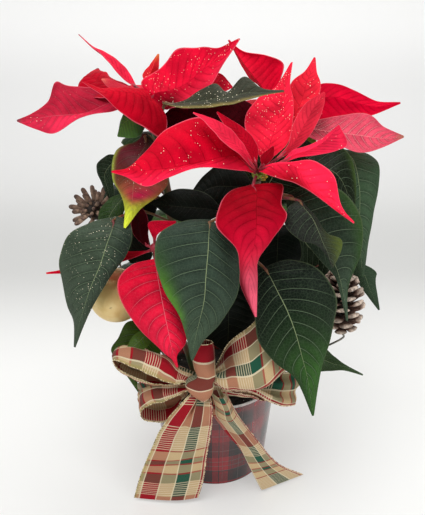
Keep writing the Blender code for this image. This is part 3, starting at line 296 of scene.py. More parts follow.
# The green leaves of each stem: the height where the petiole leaves it, the points that the
# petiole passes, and then its blade as for a bract.
LEAVES = {"a": {
    "lobed": (324, [(-42, 333, 9)], look((50, 50, 36), ((150, 132, 70), 0, 0.5, 0.12, 0.6), glitter=1,
        vein=0.4),
        (-41, 340.5, 16), (-29, 337, 26, -31, 339.5, 18, -26, 341, 12),
        (-10, 336.5, 33, -9, 342, 25, -10, 351, 16), (3, 338, 36, 3, 344, 29, 1, 354.8, 18),
        (14, 339.5, 36, 13, 345, 30, 10.5, 349, 24), (25, 342.5, 35, 25, 348, 29, 23, 360.5, 20),
        (40, 346.5, 32, 41, 348.5, 30, 37, 351.5, 27), (54.5, 349.5, 28)),
    "below_bloom": (318, [], look((88, 136, 58), ((24, 44, 16), 1, 0.2, 0.4, 0.4)),
        (-52, 333, -2), (-63, 338, -12, -61, 330, -4, -57, 319, 4),
        (-73, 331, -12, -72, 325, -6, -64, 313, 2), (-78, 314, -6)),
    "turning": (296, [(-50, 312, 8)], look((92, 14, 34), ((240, 255, 70), 0.55, 1, 1.3, 0.28),
        ((172, 14, 62), 0.62, 0.64, 0.42, 0.11), ((170, 190, 70), 0, 0.5, 0.06, 0.2),
        ((26, 38, 18), 1, 0.1, 0.55, 0.26), glitter=0.4, vein=0.5, light=0.4, quilt=0.5),
        (-56, 316, 14), (-65, 309, 14, -56, 307, 22, -49, 310, 18),
        (-80, 303, 24, -63, 295, 36, -44, 299, 26), (-85, 281, 34, -67, 278, 46, -38, 279, 34),
        (-80, 269, 42, -69, 262, 50, -46, 265.5, 42), (-76, 255, 48, -71, 252, 52, -62, 253.5, 48),
        (-77, 236, 51)),
    "dark_left": (280, [(-62, 292, 0)], look((22, 36, 18)),
        (-76, 297, 0), (-87, 299, -8, -84, 292, -2, -81, 283, 4), (-97, 290, -8, -91, 282, 0, -84, 277, 6),
        (-94, 276, -2, -89, 270, 4, -84, 266, 8), (-86, 256, 6)),
    "veined_left": (258, [(-58, 268, 6)], look((40, 64, 24), vein=1.2),
        (-71, 268, 13), (-88, 262, 13, -82, 257, 19, -77, 250, 21),
        (-98, 250, 17, -90, 245, 24, -81, 237, 25), (-99, 236, 20, -94, 231, 25, -88, 225, 26),
        (-103, 214, 25)),
    "big_left": (240, [(-62, 251, 14)], look((62, 75, 60), ((34, 46, 38), 1, 0.35, 0.34, 0.4),
        glitter=0.6),
        (-84, 246, 36), (-104, 241.3, 42, -88, 234, 49, -73, 242, 45),
        (-124, 231, 46, -94, 219, 55, -71, 228, 52), (-135, 211, 48, -101, 200, 59, -77, 211, 56),
        (-136, 189, 51, -110, 181, 61, -92, 190.5, 58), (-133, 161, 55, -118, 160, 61, -109, 163, 59),
        (-129, 143, 56, -124.5, 141.5, 59, -119.5, 142, 58), (-130.5, 118, 57)),
    # Painted shade: near-black for the shade inside the plant.
    "inner_low": (236, [], look(INNER_SHADE_GREEN, vein=0.14),
        (-46, 262, 6), (-60, 272, 1, -56, 260, 7, -50, 250, 6), (-76, 250, 1, -67, 239, 8, -57, 232, 5),
        (-84, 222, 3, -73, 214, 8, -55, 208, 5), (-73, 203, 7)),
}, "b": {
    # Painted sheen: the grey-green mark on the lower part stands for light on the leaf's gloss.
    "big_front": (226, [(16, 246, 52)], look((45, 60, 49), ((96, 156, 34), 0.02, 0.64, 0.12, 0.17),
        (SHEEN_GREY_GREEN, 0.6, 0.95, 0.9, 0.3)),
        (-3, 243, 64), (-24, 242.5, 70, -4.5, 234, 73, 11, 231, 68),
        (-47, 231, 77, -5.5, 214, 80, 20, 214, 73), (-52, 206, 81, -7.5, 190, 84, 23, 194, 75),
        (-45, 177, 84, -9, 168, 86, 19, 168, 77), (-32, 151, 86, -13, 148, 87, 5, 143, 80),
        (-26, 129, 86, -18, 126, 87, -11, 123, 84), (-21, 103.5, 86)),
    "big_right": (206, [(34, 206, 54)], look((8, 20, 11), ((52, 94, 34), 0.75, 0.95, 0.8, 0.3)),
        (44, 199, 66), (37, 199, 64, 49, 191, 70, 66, 206.3, 64), (35, 178, 71, 57, 175, 76, 91, 198, 68),
        (37, 150, 76, 66, 157, 82, 109, 173, 72), (42, 123, 80, 75, 134, 86, 110, 142, 76),
        (57, 102, 84, 83, 107, 88, 105, 111, 82), (79, 81, 88, 90, 81, 90, 101, 86, 87), (97.5, 40, 90)),
    "upper_right": (252, [(48, 264, 42)], look((30, 45, 30), ((62, 80, 62), 0.3, 0.95, 0.8, 0.34),
        ((54, 82, 40), 0, 0.5, 0.12, 0.34)),
        (61, 266, 46), (82, 276, 48, 73, 256, 53, 63, 247, 52), (108, 268, 54, 88, 235, 59, 75, 228, 58),
        (126, 243, 58, 102, 211, 64, 92, 207, 63), (128, 212, 62, 111, 190, 67, 107, 190, 66),
        (120, 179, 66, 117, 169, 68, 114, 171, 68), (122, 146, 66)),
    "grey_folded": (266, [(54, 262, 58), (64, 262, 65)], look((36, 38, 34),
        ((84, 98, 34), 1, 0.76, 0.32, 0.22)),
        (71, 261, 69), (62, 253, 71, 76, 254, 75, 79, 254, 73), (61, 238, 75, 84, 244, 79, 88, 244, 76),
        (74, 225, 78, 90, 232, 81, 97, 231, 77), (88, 220.5, 80, 94, 223, 81, 109, 226, 77),
        (98, 211, 79, 99.5, 212, 80, 111, 217, 78), (104.5, 199, 78)),
    # Painted shade: near-black for the shade inside the plant.
    "inner_left": (214, [], look(INNER_SHADE_GREEN, vein=0.14),
        (8, 250, 32), (-8, 267, 24, -8, 253, 32, -8, 242, 38), (-32, 270, 23, -31, 255, 31, -30, 242, 36),
        (-53, 258, 30)),
    # Painted shade: near-black for the shade inside the plant.
    "low_centre": (158, [], look(INNER_SHADE_GREEN, vein=0.14),
        (14, 200, 36), (-4, 184, 32, 13, 183, 38, 32, 186, 34), (-11, 156, 36, 13, 158, 42, 40, 162, 38),
        (-12, 131, 38, 13, 134, 42, 39, 140, 40), (12, 112, 42)),
}, "c": {
    # Painted shade: near-black for the shade inside the plant.
    "inner_top": (232, [(40, 262, 4)], look(INNER_SHADE_GREEN, vein=0.14),
        (34, 268, 16), (22, 288, 4, 18, 272, 14, 20, 256, 20), (4, 291, 0, 0, 272, 12, 2, 254, 20),
        (-12, 278, 4, -12, 266, 12, -9, 253, 18), (-24, 258, 14)),
    "olive_right": (272, [(54, 290, -6)], look((10, 20, 0), ((52, 74, 22), 0, 0.78, 0.1, 0.16), vein=0.7),
        (60, 296, 6), (72, 311, 0, 70, 300, 8, 67, 288, 14), (84, 306, 4, 84, 291, 14, 84, 275, 21),
        (106, 304, 10, 100, 284, 22, 94, 265, 30), (117, 282, 18, 110, 270, 27, 103, 257, 35),
        (119, 247, 32)),
    "far_right": (268, [(78, 300, -18)], look((54, 76, 52)),
        (98, 304, -14), (102, 296, -12, 113, 296, -10, 127, 299, -16),
        (104, 275, -2, 121, 272, 2, 136.5, 286, -6), (108, 245, 4, 124, 245, 8, 136, 258, 0),
        (114, 218, 10, 127, 218, 14, 134, 230, 8), (132, 190, 14)),
    "behind_b": (244, [], look((16, 28, 8), ((150, 200, 70), 0.4, 1.05, 0.9, 0.28)),
        (42, 256, -8), (19, 286, -15, 46, 276, -8, 65, 259, -5), (35, 305, -17, 58, 292, -9, 80, 273, -6),
        (58, 314, -16, 72, 304, -10, 86, 291, -8), (81, 315, -10)),
}, "d": {
    "low_left": (136, [], look((58, 84, 16)),
        (-57, 143, 22), (-79, 145, 24, -70, 133, 27, -50, 122, 28),
        (-89, 128, 24, -77, 118, 28, -53, 104, 29), (-96.5, 115, 25, -84, 104, 28, -66, 93, 29),
        (-90, 99, 26, -82, 92, 28, -74, 85, 28), (-72, 66, 28)),
    "low_left_front": (152, [], look((64, 94, 20)),
        (-56, 140, 48), (-73, 132, 56, -67, 127, 60, -60, 122, 61),
        (-80, 121, 63, -77, 117, 66, -70, 113, 67), (-84, 108, 69)),
}, "e": {
    # Painted shade: near-black for the shade inside the plant.
    "inner_right": (206, [], look(INNER_SHADE_GREEN, vein=0.14),
        (56, 240, 22), (39, 233, 26, 55, 228, 32, 70, 232, 28), (34, 208, 33, 55, 206, 38, 76, 208, 34),
        (54, 180, 40)),
    "inner_far_right": (214, [], look((24, 36, 20)),
        (70, 238, 0), (86, 236, -10, 80, 221, -4, 74, 204, -2), (108, 226, -10, 97, 205, -3, 86, 184, -2),
        (118, 206, -8, 110, 193, -4, 102, 180, -2), (120, 176, -4)),
    "low_right": (112, [(70, 112, 20)], look((46, 68, 34)),
        (86, 114, 30), (100, 119, 26, 98, 107, 33, 96, 93, 37),
        (113, 108, 26, 112, 100, 31, 110, 91.7, 35), (124, 99, 26, 124, 96, 29, 124, 92.3, 32),
        (142, 87.5, 26)),
    "side_tip": (176, [(100, 206, -6)], look((44, 64, 44)),
        (120, 206, -4), (122, 193, -2, 133, 192, 0, 142, 196, -4), (132, 179, 0, 139, 179, 2, 144, 184, 0),
        (150, 157, 2)),
}}
# The bow: where the gold edge is, how far the width arches, from where across it pleats, where
# the tartan lies (millimetres along the piece and along the pattern), how the width is drawn
# together (share of the piece and of the ribbon), and the two edges from the knot outwards
RIBBON = {
    "bow_loop_left_upper": ("near", 14, 0.42, [(0, -13), (147, 134)],
        [(0, 0), (0.05, 0.08), (0.42, 0.335), (0.62, 0.55), (1, 1)],
        [(-27, 79, 76), (-38, 77, 81), (-50, 82, 84), (-65, 89, 84), (-80, 98, 80), (-94, 104, 74),
        (-95, 100.5, 71), (-87, 91, 71), (-75, 84, 72), (-62, 79, 73), (-46, 76, 74), (-27.5, 77, 73)],
        [(-15, 89, 64.5), (-34, 97, 56), (-50, 107, 46), (-65, 116, 38), (-78, 120.5, 34), (-86, 118, 33),
        (-88, 112, 33), (-84, 106, 34), (-75, 101, 38), (-62, 97, 42), (-46, 91, 51), (-20, 85, 63)]),
    "bow_loop_left_lower": ("near", 7, 0.42, [(0, 10.5), (107, 117.5)],
        [(0, 0), (0.05, 0.08), (0.42, 0.335), (0.62, 0.55), (1, 1)],
        [(-23.6, 70, 75.2), (-40, 61.5, 77), (-50, 57, 78), (-60, 54, 76), (-69, 48, 74), (-73, 41, 72),
        (-70, 35, 71), (-60, 32.5, 71), (-50, 33, 71), (-40, 40, 71), (-29, 66, 68)],
        [(-24, 76, 65), (-38, 82, 56), (-50, 86, 48), (-60, 88, 42), (-67.5, 87, 38), (-71, 83, 36),
        (-69, 78, 36), (-60, 74, 38), (-50, 72, 42), (-40, 71, 50), (-26, 71, 63)]),
    "bow_loop_right_upper": ("far", 9, 0.42,
        [(0, -10), (12, 0), (20, 19), (33, 33), (43.5, 41.5), (177, 175)],
        [(0, 0), (0.05, 0.08), (0.186, 0.335), (0.36, 0.57), (0.548, 0.785), (0.862, 0.945), (1, 1)],
        [(0.3, 79, 76), (11, 70.5, 79), (21, 71, 80), (32, 70.5, 80), (43, 71.5, 79), (53, 76, 78),
        (65, 89, 76), (77, 100, 72), (83, 106, 64), (77, 108, 52), (60, 100, 46), (40, 92, 46),
        (20, 86, 54), (1, 82, 67)],
        [(-1, 92, 68), (6, 107, 66), (12, 120, 62), (20, 129, 61), (31, 138, 61), (42, 149, 62),
        (56, 152, 62), (70, 150, 58), (76, 144, 50), (68, 134, 43), (50, 122, 42), (32, 110, 45),
        (15, 98, 54), (-3, 91, 64)]),
    "bow_loop_right_lower": ("far", 1.5, 0, [(0, -23), (180, 157)],
        [(0, 0.56), (0.05, 0.6), (0.42, 0.7), (0.52, 0.785), (0.94, 0.945), (1, 1)],
        [(-6.5, 74.5, 73), (20, 69.5, 70), (36, 67, 70), (46, 61, 72), (56, 56, 72), (67, 51.5, 70),
        (77.5, 52.5, 66), (79, 56, 60), (75, 60, 52), (62, 60, 50), (47, 58, 53), (36, 64, 58),
        (20, 67.5, 63), (-5, 71, 66)],
        [(-8, 79, 68), (20, 79, 60), (36, 82, 56), (46, 85, 53), (56, 88, 51), (67, 90, 49), (76, 90, 45),
        (80.5, 89, 40), (76, 87, 36), (64, 84, 36), (48, 80, 40), (36, 77, 46), (20, 75.5, 54),
        (-8, 75, 62)]),
    "bow_tail_left": ("near", 3, 0, [(0, 30), (31, 0), (122, -74)], [(0, 0), (1, 1)],
        [(-22, 67, 73.7), (-33, 53, 78.5), (-43, 40, 79), (-55, 20, 76), (-62, 2, 73), (-70, -18, 71),
        (-78, -42, 69.5), (-84, -65, 69)],
        [(-5, 67, 72.6), (-2, 51, 80.5), (-2, 35, 82), (-3.5, 20, 80), (-5.5, 4, 78), (-8, -13, 76),
        (-11, -40, 73), (-17, -65, 71)]),
    "bow_tail_right": ("near", 0, 0, [(0, -55), (45, 0), (64, 19), (136, 83)], [(0, 0), (1, 1)],
        [(-3, 68, 75.8), (1.5, 52, 76.5), (2.5, 40, 76), (10, 28, 74), (18, 15, 72), (27, 0, 70),
        (33, -15, 69), (41, -34, 66), (50, -55, 60)],
        [(11, 68, 73.6), (17, 54, 73), (22, 43, 71), (30, 30, 69), (38, 18, 67), (48, 3, 64),
        (57, -10, 60), (70, -23, 51), (92, -34, 40)]),
}
# Leaves and bracts round the back, which no view from the front shows. A leaf: height on the
# stem, compass angle, petiole, length, width and droop. A bract: compass angle, length, width, droop.
BACK_LEAVES = {
    "a": [(300, 103, 34, 88, 52, 62), (262, 136, 30, 78, 46, 70), (222, 100, 40, 92, 56, 66),
          (182, 150, 34, 84, 50, 72), (142, 120, 34, 76, 46, 74)],
    "c": [(296, 78, 34, 92, 56, 60), (262, 30, 30, 80, 46, 72), (226, 66, 40, 94, 58, 66),
          (186, 98, 36, 88, 54, 70), (148, 60, 38, 80, 48, 74)],
    "e": [(206, 28, 26, 74, 44, 66), (150, 18, 30, 70, 42, 72)],
}
BACK_BRACTS = {
    "a": [(70, 74, 40, 24), (106, 92, 48, 30), (146, 70, 38, 34)],
    "c": [(24, 66, 38, 26), (62, 88, 46, 30), (96, 96, 50, 28), (132, 76, 40, 32)],
}
# Knot, from bottom to top: across, up, forward, half its width and half its depth
KNOT = [
    (-12, 59.5, 79, 7, 3), (-13, 64, 79, 11, 5), (-14, 73, 78, 13.5, 7), (-13, 79, 77, 12, 6.5),
    (-8, 85, 75, 9, 5.5), (-9, 94, 73, 10, 6.5), (-10, 106, 71, 10.6, 7), (-10, 117, 69, 10, 6.5),
    (-10, 123, 68, 8.5, 4),
]
# Once round the knot, and where on the tartan that starts
KNOT_ROUND = 54
KNOT_START = 72
KNOT_STEPS = (64, 48)
KNOT_EDGE_STEPS = 90
# Which part of the ribbon's width shows at each height of the knot, which is gathered
KNOT_BANDS = [(0, 1), (0.09, 0.93), (0.3, 0.765), (0.555, 0.565), (0.73, 0.345), (1, 0.12)]

# Picks of steel wire: the way of each from behind what it holds, down into the soil
PICKS = {
    "bow_pick": [(-10.5, -60, 124), (-8, -48, 102), (-6, -38, HOLE_TOP)],
    "pinecone_left_pick": [(-88, 12, 222), (-80, 0, 190), (-56, 6, 140), (-38, 12, 100),
                           (-33, 13, HOLE_TOP)],
    "pinecone_right_pick": [(92, -16, 124), (66, -6, 106), (50, -5, 94), (45, -5, HOLE_TOP)],
    "bauble_pick": [(-54, -11, 130), (-40, -4, 98), (-36, -3, HOLE_TOP)],
}
# Where the bow's pick meets the back of the knot
KNOT_BACK = (-11.1, -70, 131.6)

# Cones: middle of the base and of the tip, greatest radius and how many scales, then a scale's
# half width and half thickness at foot and end, and its colour at its foot, near its end and there
CONES = {
    "pinecone_left": ((-96, 250, -16), (-107, 254, 10), 23, 36, (1, 2.5), (0.8, 1.5),
                      (26, 16, 14), (158, 130, 110), (84, 62, 54)),
    "pinecone_right": ((118, 134, 28), (110, 208, 26), 21.5, 60, (2, 7.4), (0.8, 2.5),
                       (16, 10, 9), (138, 106, 92), (222, 202, 184)),
}
# The core's radius and half length, as shares of the cone's
CORE_GIRTH = 0.36
CORE_LENGTH = 0.47
# How far the scales lean towards the tip in degrees, at the base and how much more at the tip
SCALE_LEAN = -8
SCALE_TURNED_UP = 66
# The turn from one scale to the next in radians
SCALE_TURN = 2.39996
# A scale's colour is the middle one of its three at this share of its length
SCALE_LIGHT = 0.75
BAUBLE_AT = (-88, 172, 25)

# Warp bands across the ribbon: start, colour, and 1 where the thread hides the weft
WARP = [
    (0, (190, 170, 110), 0.6), (0.03, TAN, 0.2), (0.06, CREAM, 0.8), (0.08, SCARLET, 0),
    (0.325, CREAM, 0.8), (0.345, TAN, 0), (0.56, CREAM, 0.8), (0.58, TEAL, 0),
    (0.775, CREAM, 0.8), (0.795, TAN, 0), (0.94, CREAM, 0.6), (0.95, SCARLET, 0.7), (0.98, CREAM, 0.6),
]
# Weft blocks along it, in millimetres: length, colour and weight
WEFT = [
    (19, SCARLET, 0.55), (14, SCARLET, 0.09), (8.5, TEAL, 0.5), (1.2, SCARLET, 0.75), (7.5, TAN, 0.5),
    (1.2, SCARLET, 0.75), (3.5, TEAL, 0.5), (1.2, SCARLET, 0.75), (8, TAN, 0.5), (1.3, SCARLET, 0.75),
    (24, SCARLET, 0.09),
]
TARTAN_PERIOD = sum(length for length, _, _ in WEFT)
LADDER_PITCH = 2
# Threads in a tenth of a metre along the cloth, and across its whole width
THREADS_ALONG = 290
THREADS_ACROSS = 150

# The print on the pot: stripes round one repeat, and level bands as a share of its height
POT_REPEATS = 9
POT_SHIFT = 0.5
POT_UPRIGHT = [
    (0, CHARCOAL, 0), (0.13, PALE_LINE, 0.5), (0.145, CHARCOAL, 0), (0.28, WINE, 0), (0.34, CHARCOAL, 0.5),
    (0.36, WINE, 0), (0.42, CHARCOAL, 0.5), (0.44, POT_RED, 0), (0.6, CHARCOAL, 0.5), (0.62, POT_RED, 0),
    (0.7, PALE_LINE, 0.6), (0.71, POT_RED, 0), (0.86, CHARCOAL, 0.5), (0.88, WINE, 0), (0.94, CHARCOAL, 0.5),
    (0.96, WINE, 0),
]
POT_LEVEL = [
    (0, MAROON, 0), (0.015, POT_RED, 0.6), (0.03, CHARCOAL, 0), (0.14, WINE, 0), (0.17, CHARCOAL, 0.6),
    (0.18, PALE_LINE, 0.5), (0.19, POT_RED, 0), (0.24, PALE_LINE, 0.3), (0.247, POT_RED, 0),
    (0.3, PALE_LINE, 0.3), (0.307, POT_RED, 0), (0.36, CHARCOAL, 0), (0.44, PALE_LINE, 0.3),
    (0.447, CHARCOAL, 0), (0.52, WINE, 0), (0.56, POT_RED, 0), (0.63, PALE_LINE, 0.3), (0.637, POT_RED, 0),
    (0.72, CHARCOAL, 0), (0.79, PALE_LINE, 0.4), (0.797, CHARCOAL, 0), (0.85, WINE, 0), (0.9, POT_RED, 0),
    (0.975, RIM_WHITE, 1),
]

# Area lights: place, width and height in metres, and power in watts
LIGHTS = {
    "key": ((-0.36, -0.65, 1.75), (1.1, 1.1), 20),
    "fill": ((1.1, -1.2, 0.7), (0.8, 1.0), 6.5),
    "top": ((0.3, 0.5, 1.7), (1.4, 1.0), 11),
}
LIGHT_AIM = Vector((0, 0, 0.2))
BACKDROP_STRENGTH = 0.3
# The sweep behind the plant: its width and depth, where it starts to bend up, over how much
# of its depth it does, and the radius of the bend
SWEEP_WIDTH = 6000
SWEEP_DEPTH = 4000
SWEEP_BEND = 900
SWEEP_ARC = 600
SWEEP_RADIUS = 500


def smooth_way(points, share):
    """A point this share of the way along the smooth line through these points."""
    spans = len(points) - 1
    place = min(share * spans, spans - 1e-6)
    i = int(place)
    t = place - i
    p1, p2 = points[i], points[i + 1]
    p0 = points[i - 1] if i > 0 else p1 * 2 - p2
    p3 = points[i + 2] if i + 2 <= spans else p2 * 2 - p1
    return 0.5 * (
        p1 * 2 + (p2 - p0) * t + (p0 * 2 - p1 * 5 + p2 * 4 - p3) * t**2
        + (p1 * 3 - p0 - p2 * 3 + p3) * t**3
    )


def smooth_line(points, steps):
    return [smooth_way(points, i / steps) for i in range(steps + 1)]


def piecewise(pairs, at):
    """The value at a place on a line of straight stretches between these pairs."""
    for (one, low), (two, high) in zip(pairs, pairs[1:]):
        if at <= two or two == pairs[-1][0]:
            return low + (high - low) * (at - one) / (two - one)


def square_to(way, line):
    """The part of a way that is square to a line, one unit long."""
    along = line.normalized()
    return (way - along * way.dot(along)).normalized()


def rails(rows):
    """The two edges and the midrib of a blade, as three lines of points."""
    base, *inner, tip = rows
    spread = square_to(inner[0][2] - inner[0][0], inner[0][1] - base) * PETIOLE_RADIUS
    close = square_to(inner[-1][2] - inner[-1][0], tip - inner[-1][1]) * TIP_WIDTH / 2
    return [[base + spread * side] + [row[i] for row in inner] + [tip + close * side]
            for i, side in ((0, -1), (1, 0), (2, 1))]


def as_seen(rows):
    """The rows of a blade in real millimetres."""
    return [seen(*row) if len(row) == 3 else tuple(seen(*row[i:i + 3]) for i in (0, 3, 6)) for row in rows]


def polar(around, radius, height=0):
    """The point this share of the way round the upright axis."""
    angle = math.tau * around
    return Vector((radius * math.cos(angle), radius * math.sin(angle), height))


def compass(angle):
    return polar(angle / 360, 1)


def drooping(base, angle, length, width, lift, droop):
    """Rows of a plain pointed blade that leaves its base at lift and bends down to droop."""
    out, side = compass(angle), compass(angle + 90)
    rows, place, before = [base], base, 0
    for share, wide in ((0.18, 0.72), (0.46, 1.0), (0.78, 0.52)):
        tilt = math.radians(lift - (lift + droop) * (share + before) / 2)
        place = place + (out * math.cos(tilt) + UP * math.sin(tilt)) * length * (share - before)
        sag = (UP * -0.11 - out * 0.05) * width * wide
        half = side * width / 2 * wide
        rows.append((place - half + sag, place, place + half + sag))
        before = share
    tilt = math.radians(-droop)
    rows.append(place + (out * math.cos(tilt) + UP * math.sin(tilt)) * length * (1 - before))
    return rows


def at_height(way, height):
    """The point of a stem at this height."""
    low, high = 0.0, 1.0
    for _ in range(24):
        half = (low + high) / 2
        if smooth_way(way, half).z < height:
            low = half
        else:
            high = half
    return smooth_way(way, low)


def only(*things):
    """Selects these objects and nothing else, and makes the first one active."""
    bpy.ops.object.select_all(action="DESELECT")
    for thing in things:
        thing.select_set(True)
    bpy.context.view_layer.objects.active = things[0]


def shaped_grid(name, across, along, place):
    """A grid of this many faces each way, with its points where place(u, v) says, in millimetres."""
    bpy.ops.object.select_all(action="DESELECT")
    bpy.ops.mesh.primitive_grid_add(x_subdivisions=across, y_subdivisions=along, size=2)
    thing = bpy.context.object
    thing.name = name
    thing.data.name = name
    for vert in thing.data.vertices:
        vert.co = place((vert.co.x + 1) / 2, (vert.co.y + 1) / 2) * MM
    return thing


def round_mesh(segments, rings):
    """A plain ball of radius 1 at the origin."""
    bpy.ops.object.select_all(action="DESELECT")
    bpy.ops.mesh.primitive_uv_sphere_add(segments=segments, ring_count=rings, radius=1)
    return bpy.context.object


def coat(thing, *skins):
    """Gives a piece these materials and no other."""
    thing.data.materials.clear()
    for skin in skins:
        thing.data.materials.append(skin)


def ball(centre, radius, skin, segments=20):
    piece = round_mesh(segments, segments // 2)
    for vert in piece.data.vertices:
        vert.co = (vert.co * radius + centre) * MM
    coat(piece, skin)
    return piece


def weld(thing, outwards=True):
    """Merges the points that meet, and turns the faces of a closed form outwards."""
    only(thing)
    bpy.ops.object.mode_set(mode="EDIT")
    bpy.ops.mesh.select_all(action="SELECT")
    bpy.ops.mesh.remove_doubles(threshold=1e-5)
    if outwards:
        bpy.ops.mesh.normals_make_consistent(inside=False)
    bpy.ops.object.mode_set(mode="OBJECT")


def apply_solidify(thing, thickness, other_side=0):
    """Gives a sheet its thickness, with another material on its other side if it has one."""
    only(thing)
    wall = thing.modifiers.new("thickness", "SOLIDIFY")
    wall.thickness = thickness * MM
    wall.offset = 0
    wall.material_offset = other_side
    bpy.ops.object.modifier_apply(modifier=wall.name)


def join(name, things):
    only(*things)
    if len(things) > 1:
        bpy.ops.object.join()
    whole = bpy.context.object
    whole.name = name
    whole.data.name = name
    return whole


def smooth(thing, angle=50):
    only(thing)
    bpy.ops.object.shade_smooth_by_angle(angle=math.radians(angle))


def link(thing):
    bpy.context.scene.collection.objects.link(thing)
    return thing


def bar(line, radii, skin=None, sides=8, name="bar"):
    """A round bar along these points, in millimetres, as thick at each as radii says."""
    curve = bpy.data.curves.new(name, "CURVE")
    curve.dimensions = "3D"
    curve.bevel_depth = MM
    curve.bevel_resolution = sides // 2 - 2
    curve.use_fill_caps = True
    spline = curve.splines.new("POLY")
    spline.points.add(len(line) - 1)
    for i, (point, place) in enumerate(zip(spline.points, line)):
        point.co = (*(place * MM), 1)
        point.radius = radii(i / (len(line) - 1)) if callable(radii) else radii
    piece = link(bpy.data.objects.new(name, curve))
    only(piece)
    bpy.ops.object.convert(target="MESH")
    weld(piece, outwards=False)
    if skin:
        coat(piece, skin)
    return piece


def colour_points(thing, colours, name="colour"):
    """Writes one colour for each point of a mesh, or the same one for all."""
    if isinstance(colours, tuple):
        colours = [colours] * len(thing.data.vertices)
    layer = thing.data.attributes.new(name, "FLOAT_COLOR", "POINT")
    layer.data.foreach_set("color", [part for colour in colours for part in (*colour, 1)])


def between(one, two, share):
    """A colour this share of the way from one to the other."""
    return tuple(a + (b - a) * share for a, b in zip(one, two))


def lay_map(sheet, steps, spot):
    """Sets the cloth's own map: what spot(u, v) says for each point of its grid."""
    layer = sheet.data.uv_layers.active.data
    for loop in sheet.data.loops:
        j, i = divmod(loop.vertex_index, steps[0] + 1)
        layer[loop.index].uv = spot(i / steps[0], j / steps[1])


def dress(piece, slot, *nodes):
    """Lets a finished piece ride with the pot, in place of these CAD nodes."""
    smooth(piece)
    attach(piece, "root")
    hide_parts(*nodes)


class Value:
    """A number or colour in a skin. Plain arithmetic on it adds the nodes that work it out."""

    def __init__(self, skin, socket):
        self.skin = skin
        self.socket = socket

    def maths(self, operation, *others):
        return self.skin.add("Math", self, *others, operation=operation)

    def __add__(self, other):
        return self.maths("ADD", other)

    def __sub__(self, other):
        return self.maths("SUBTRACT", other)

    def __rsub__(self, other):
        return self.skin.add("Math", other, self, operation="SUBTRACT")

    def __mul__(self, other):
        return self.maths("MULTIPLY", other)

    def __truediv__(self, other):
        return self.maths("DIVIDE", other)

    def below(self, limit):
        return self.maths("LESS_THAN", limit)

    def step(self, low, high, first=0.0, last=1.0):
        """Runs smoothly from first to last as the value goes from low to high."""
        return self.skin.add("MapRange", self, low, high, first, last, interpolation_type="SMOOTHSTEP")

    def other(self, name):
        """Another output of the node that gives this value."""
        return Value(self.skin, self.socket.node.outputs[name])


class Skin:
    """A new material, and the nodes that make its colour and its relief."""

    def __init__(self, name, roughness=0.5, metallic=0.0, gloss=0.5):
        self.mat = bpy.data.materials.new(name)
        self.mat.use_nodes = True
        self.tree = self.mat.node_tree
        self.shader = self.tree.nodes["Principled BSDF"]
        self.set({"Roughness": roughness, "Metallic": metallic, "Specular IOR Level": gloss})
        self.point = self.add("TexCoord", out="Object")

    def feed(self, socket, value):
        if isinstance(value, Value):
            self.tree.links.new(value.socket, socket)
        elif value is not None:
            socket.default_value = (*value, 1) if socket.type == "RGBA" and len(value) == 3 else value

    def set(self, values, node=None):
        """Sets or joins these inputs of a node, or of the material's shader."""
        for name, value in values.items():
            self.feed((node or self.shader).inputs[name], value)

    def add(self, kind, *values, out=0, **settings):
        """One output of a new node with these settings, its inputs set or joined in their order."""
        node = self.tree.nodes.new("ShaderNode" + kind)
        for key, value in settings.items():
            setattr(node, key, value)
        for socket, value in zip(node.inputs, values):
            self.feed(socket, value)
        return Value(self, node.outputs[out])

    def split(self, value, kind="SeparateXYZ"):
        first = self.add(kind, value)
        return [Value(self, socket) for socket in first.socket.node.outputs]

    def mix(self, factor, first, second, blend="MIX"):
        """Two colours mixed by a factor."""
        unused = (None,) * 5
        return self.add("Mix", factor, *unused, first, second, out=2,
                        data_type="RGBA", blend_type=blend, clamp_factor=True)

    def tint(self, colour, tint):
        return self.mix(1, colour, tint, "MULTIPLY")

    def noise(self, scale, detail=3.0, point=None):
        return self.add("TexNoise", point or self.point, None, scale, detail)

    def cells(self, scale, feature="F1"):
        return self.add("TexVoronoi", self.point, None, scale, feature=feature)

    def own(self, name="colour"):
        return self.add("Attribute", attribute_name=name, out="Color")

    def stripes(self, value, bands):
        """Bands of plain colour, and their weights: each lasts from its start to the next one's."""
        shown = self.add("ValToRGB", value)
        ramp = shown.socket.node.color_ramp
        ramp.interpolation = "CONSTANT"
        for i, (start, colour, weight) in enumerate(bands):
            stop = ramp.elements[i] if i < 2 else ramp.elements.new(start)
            stop.position = start
            stop.color = (*srgb(*colour), weight)
        return shown, shown.other("Alpha")

    def finish(self, colour, height, depth, strength=1.0):
        """The material in this colour, with this fine relief."""
        relief = self.add("Bump")
        self.set({"Strength": strength, "Distance": depth, "Height": height}, relief.socket.node)
        self.set({"Base Color": colour, "Normal": relief})
        return self.mat


def vein_lines(skin):
    """How far a point is from the nearest side vein, from 0 on it, and its two places on the blade."""
    across, along, _ = skin.split(skin.add("UVMap"))
    side = (across * 2 - 1).maths("ABSOLUTE")
    count = (along - side.maths("POWER", VEIN_BEND) * VEIN_SWEEP) * SIDE_VEINS
    part = (across.maths("GREATER_THAN", 0.5) * VEIN_SHIFT + count).maths("FRACT")
    return part.maths("MINIMUM", 1 - part), side, along


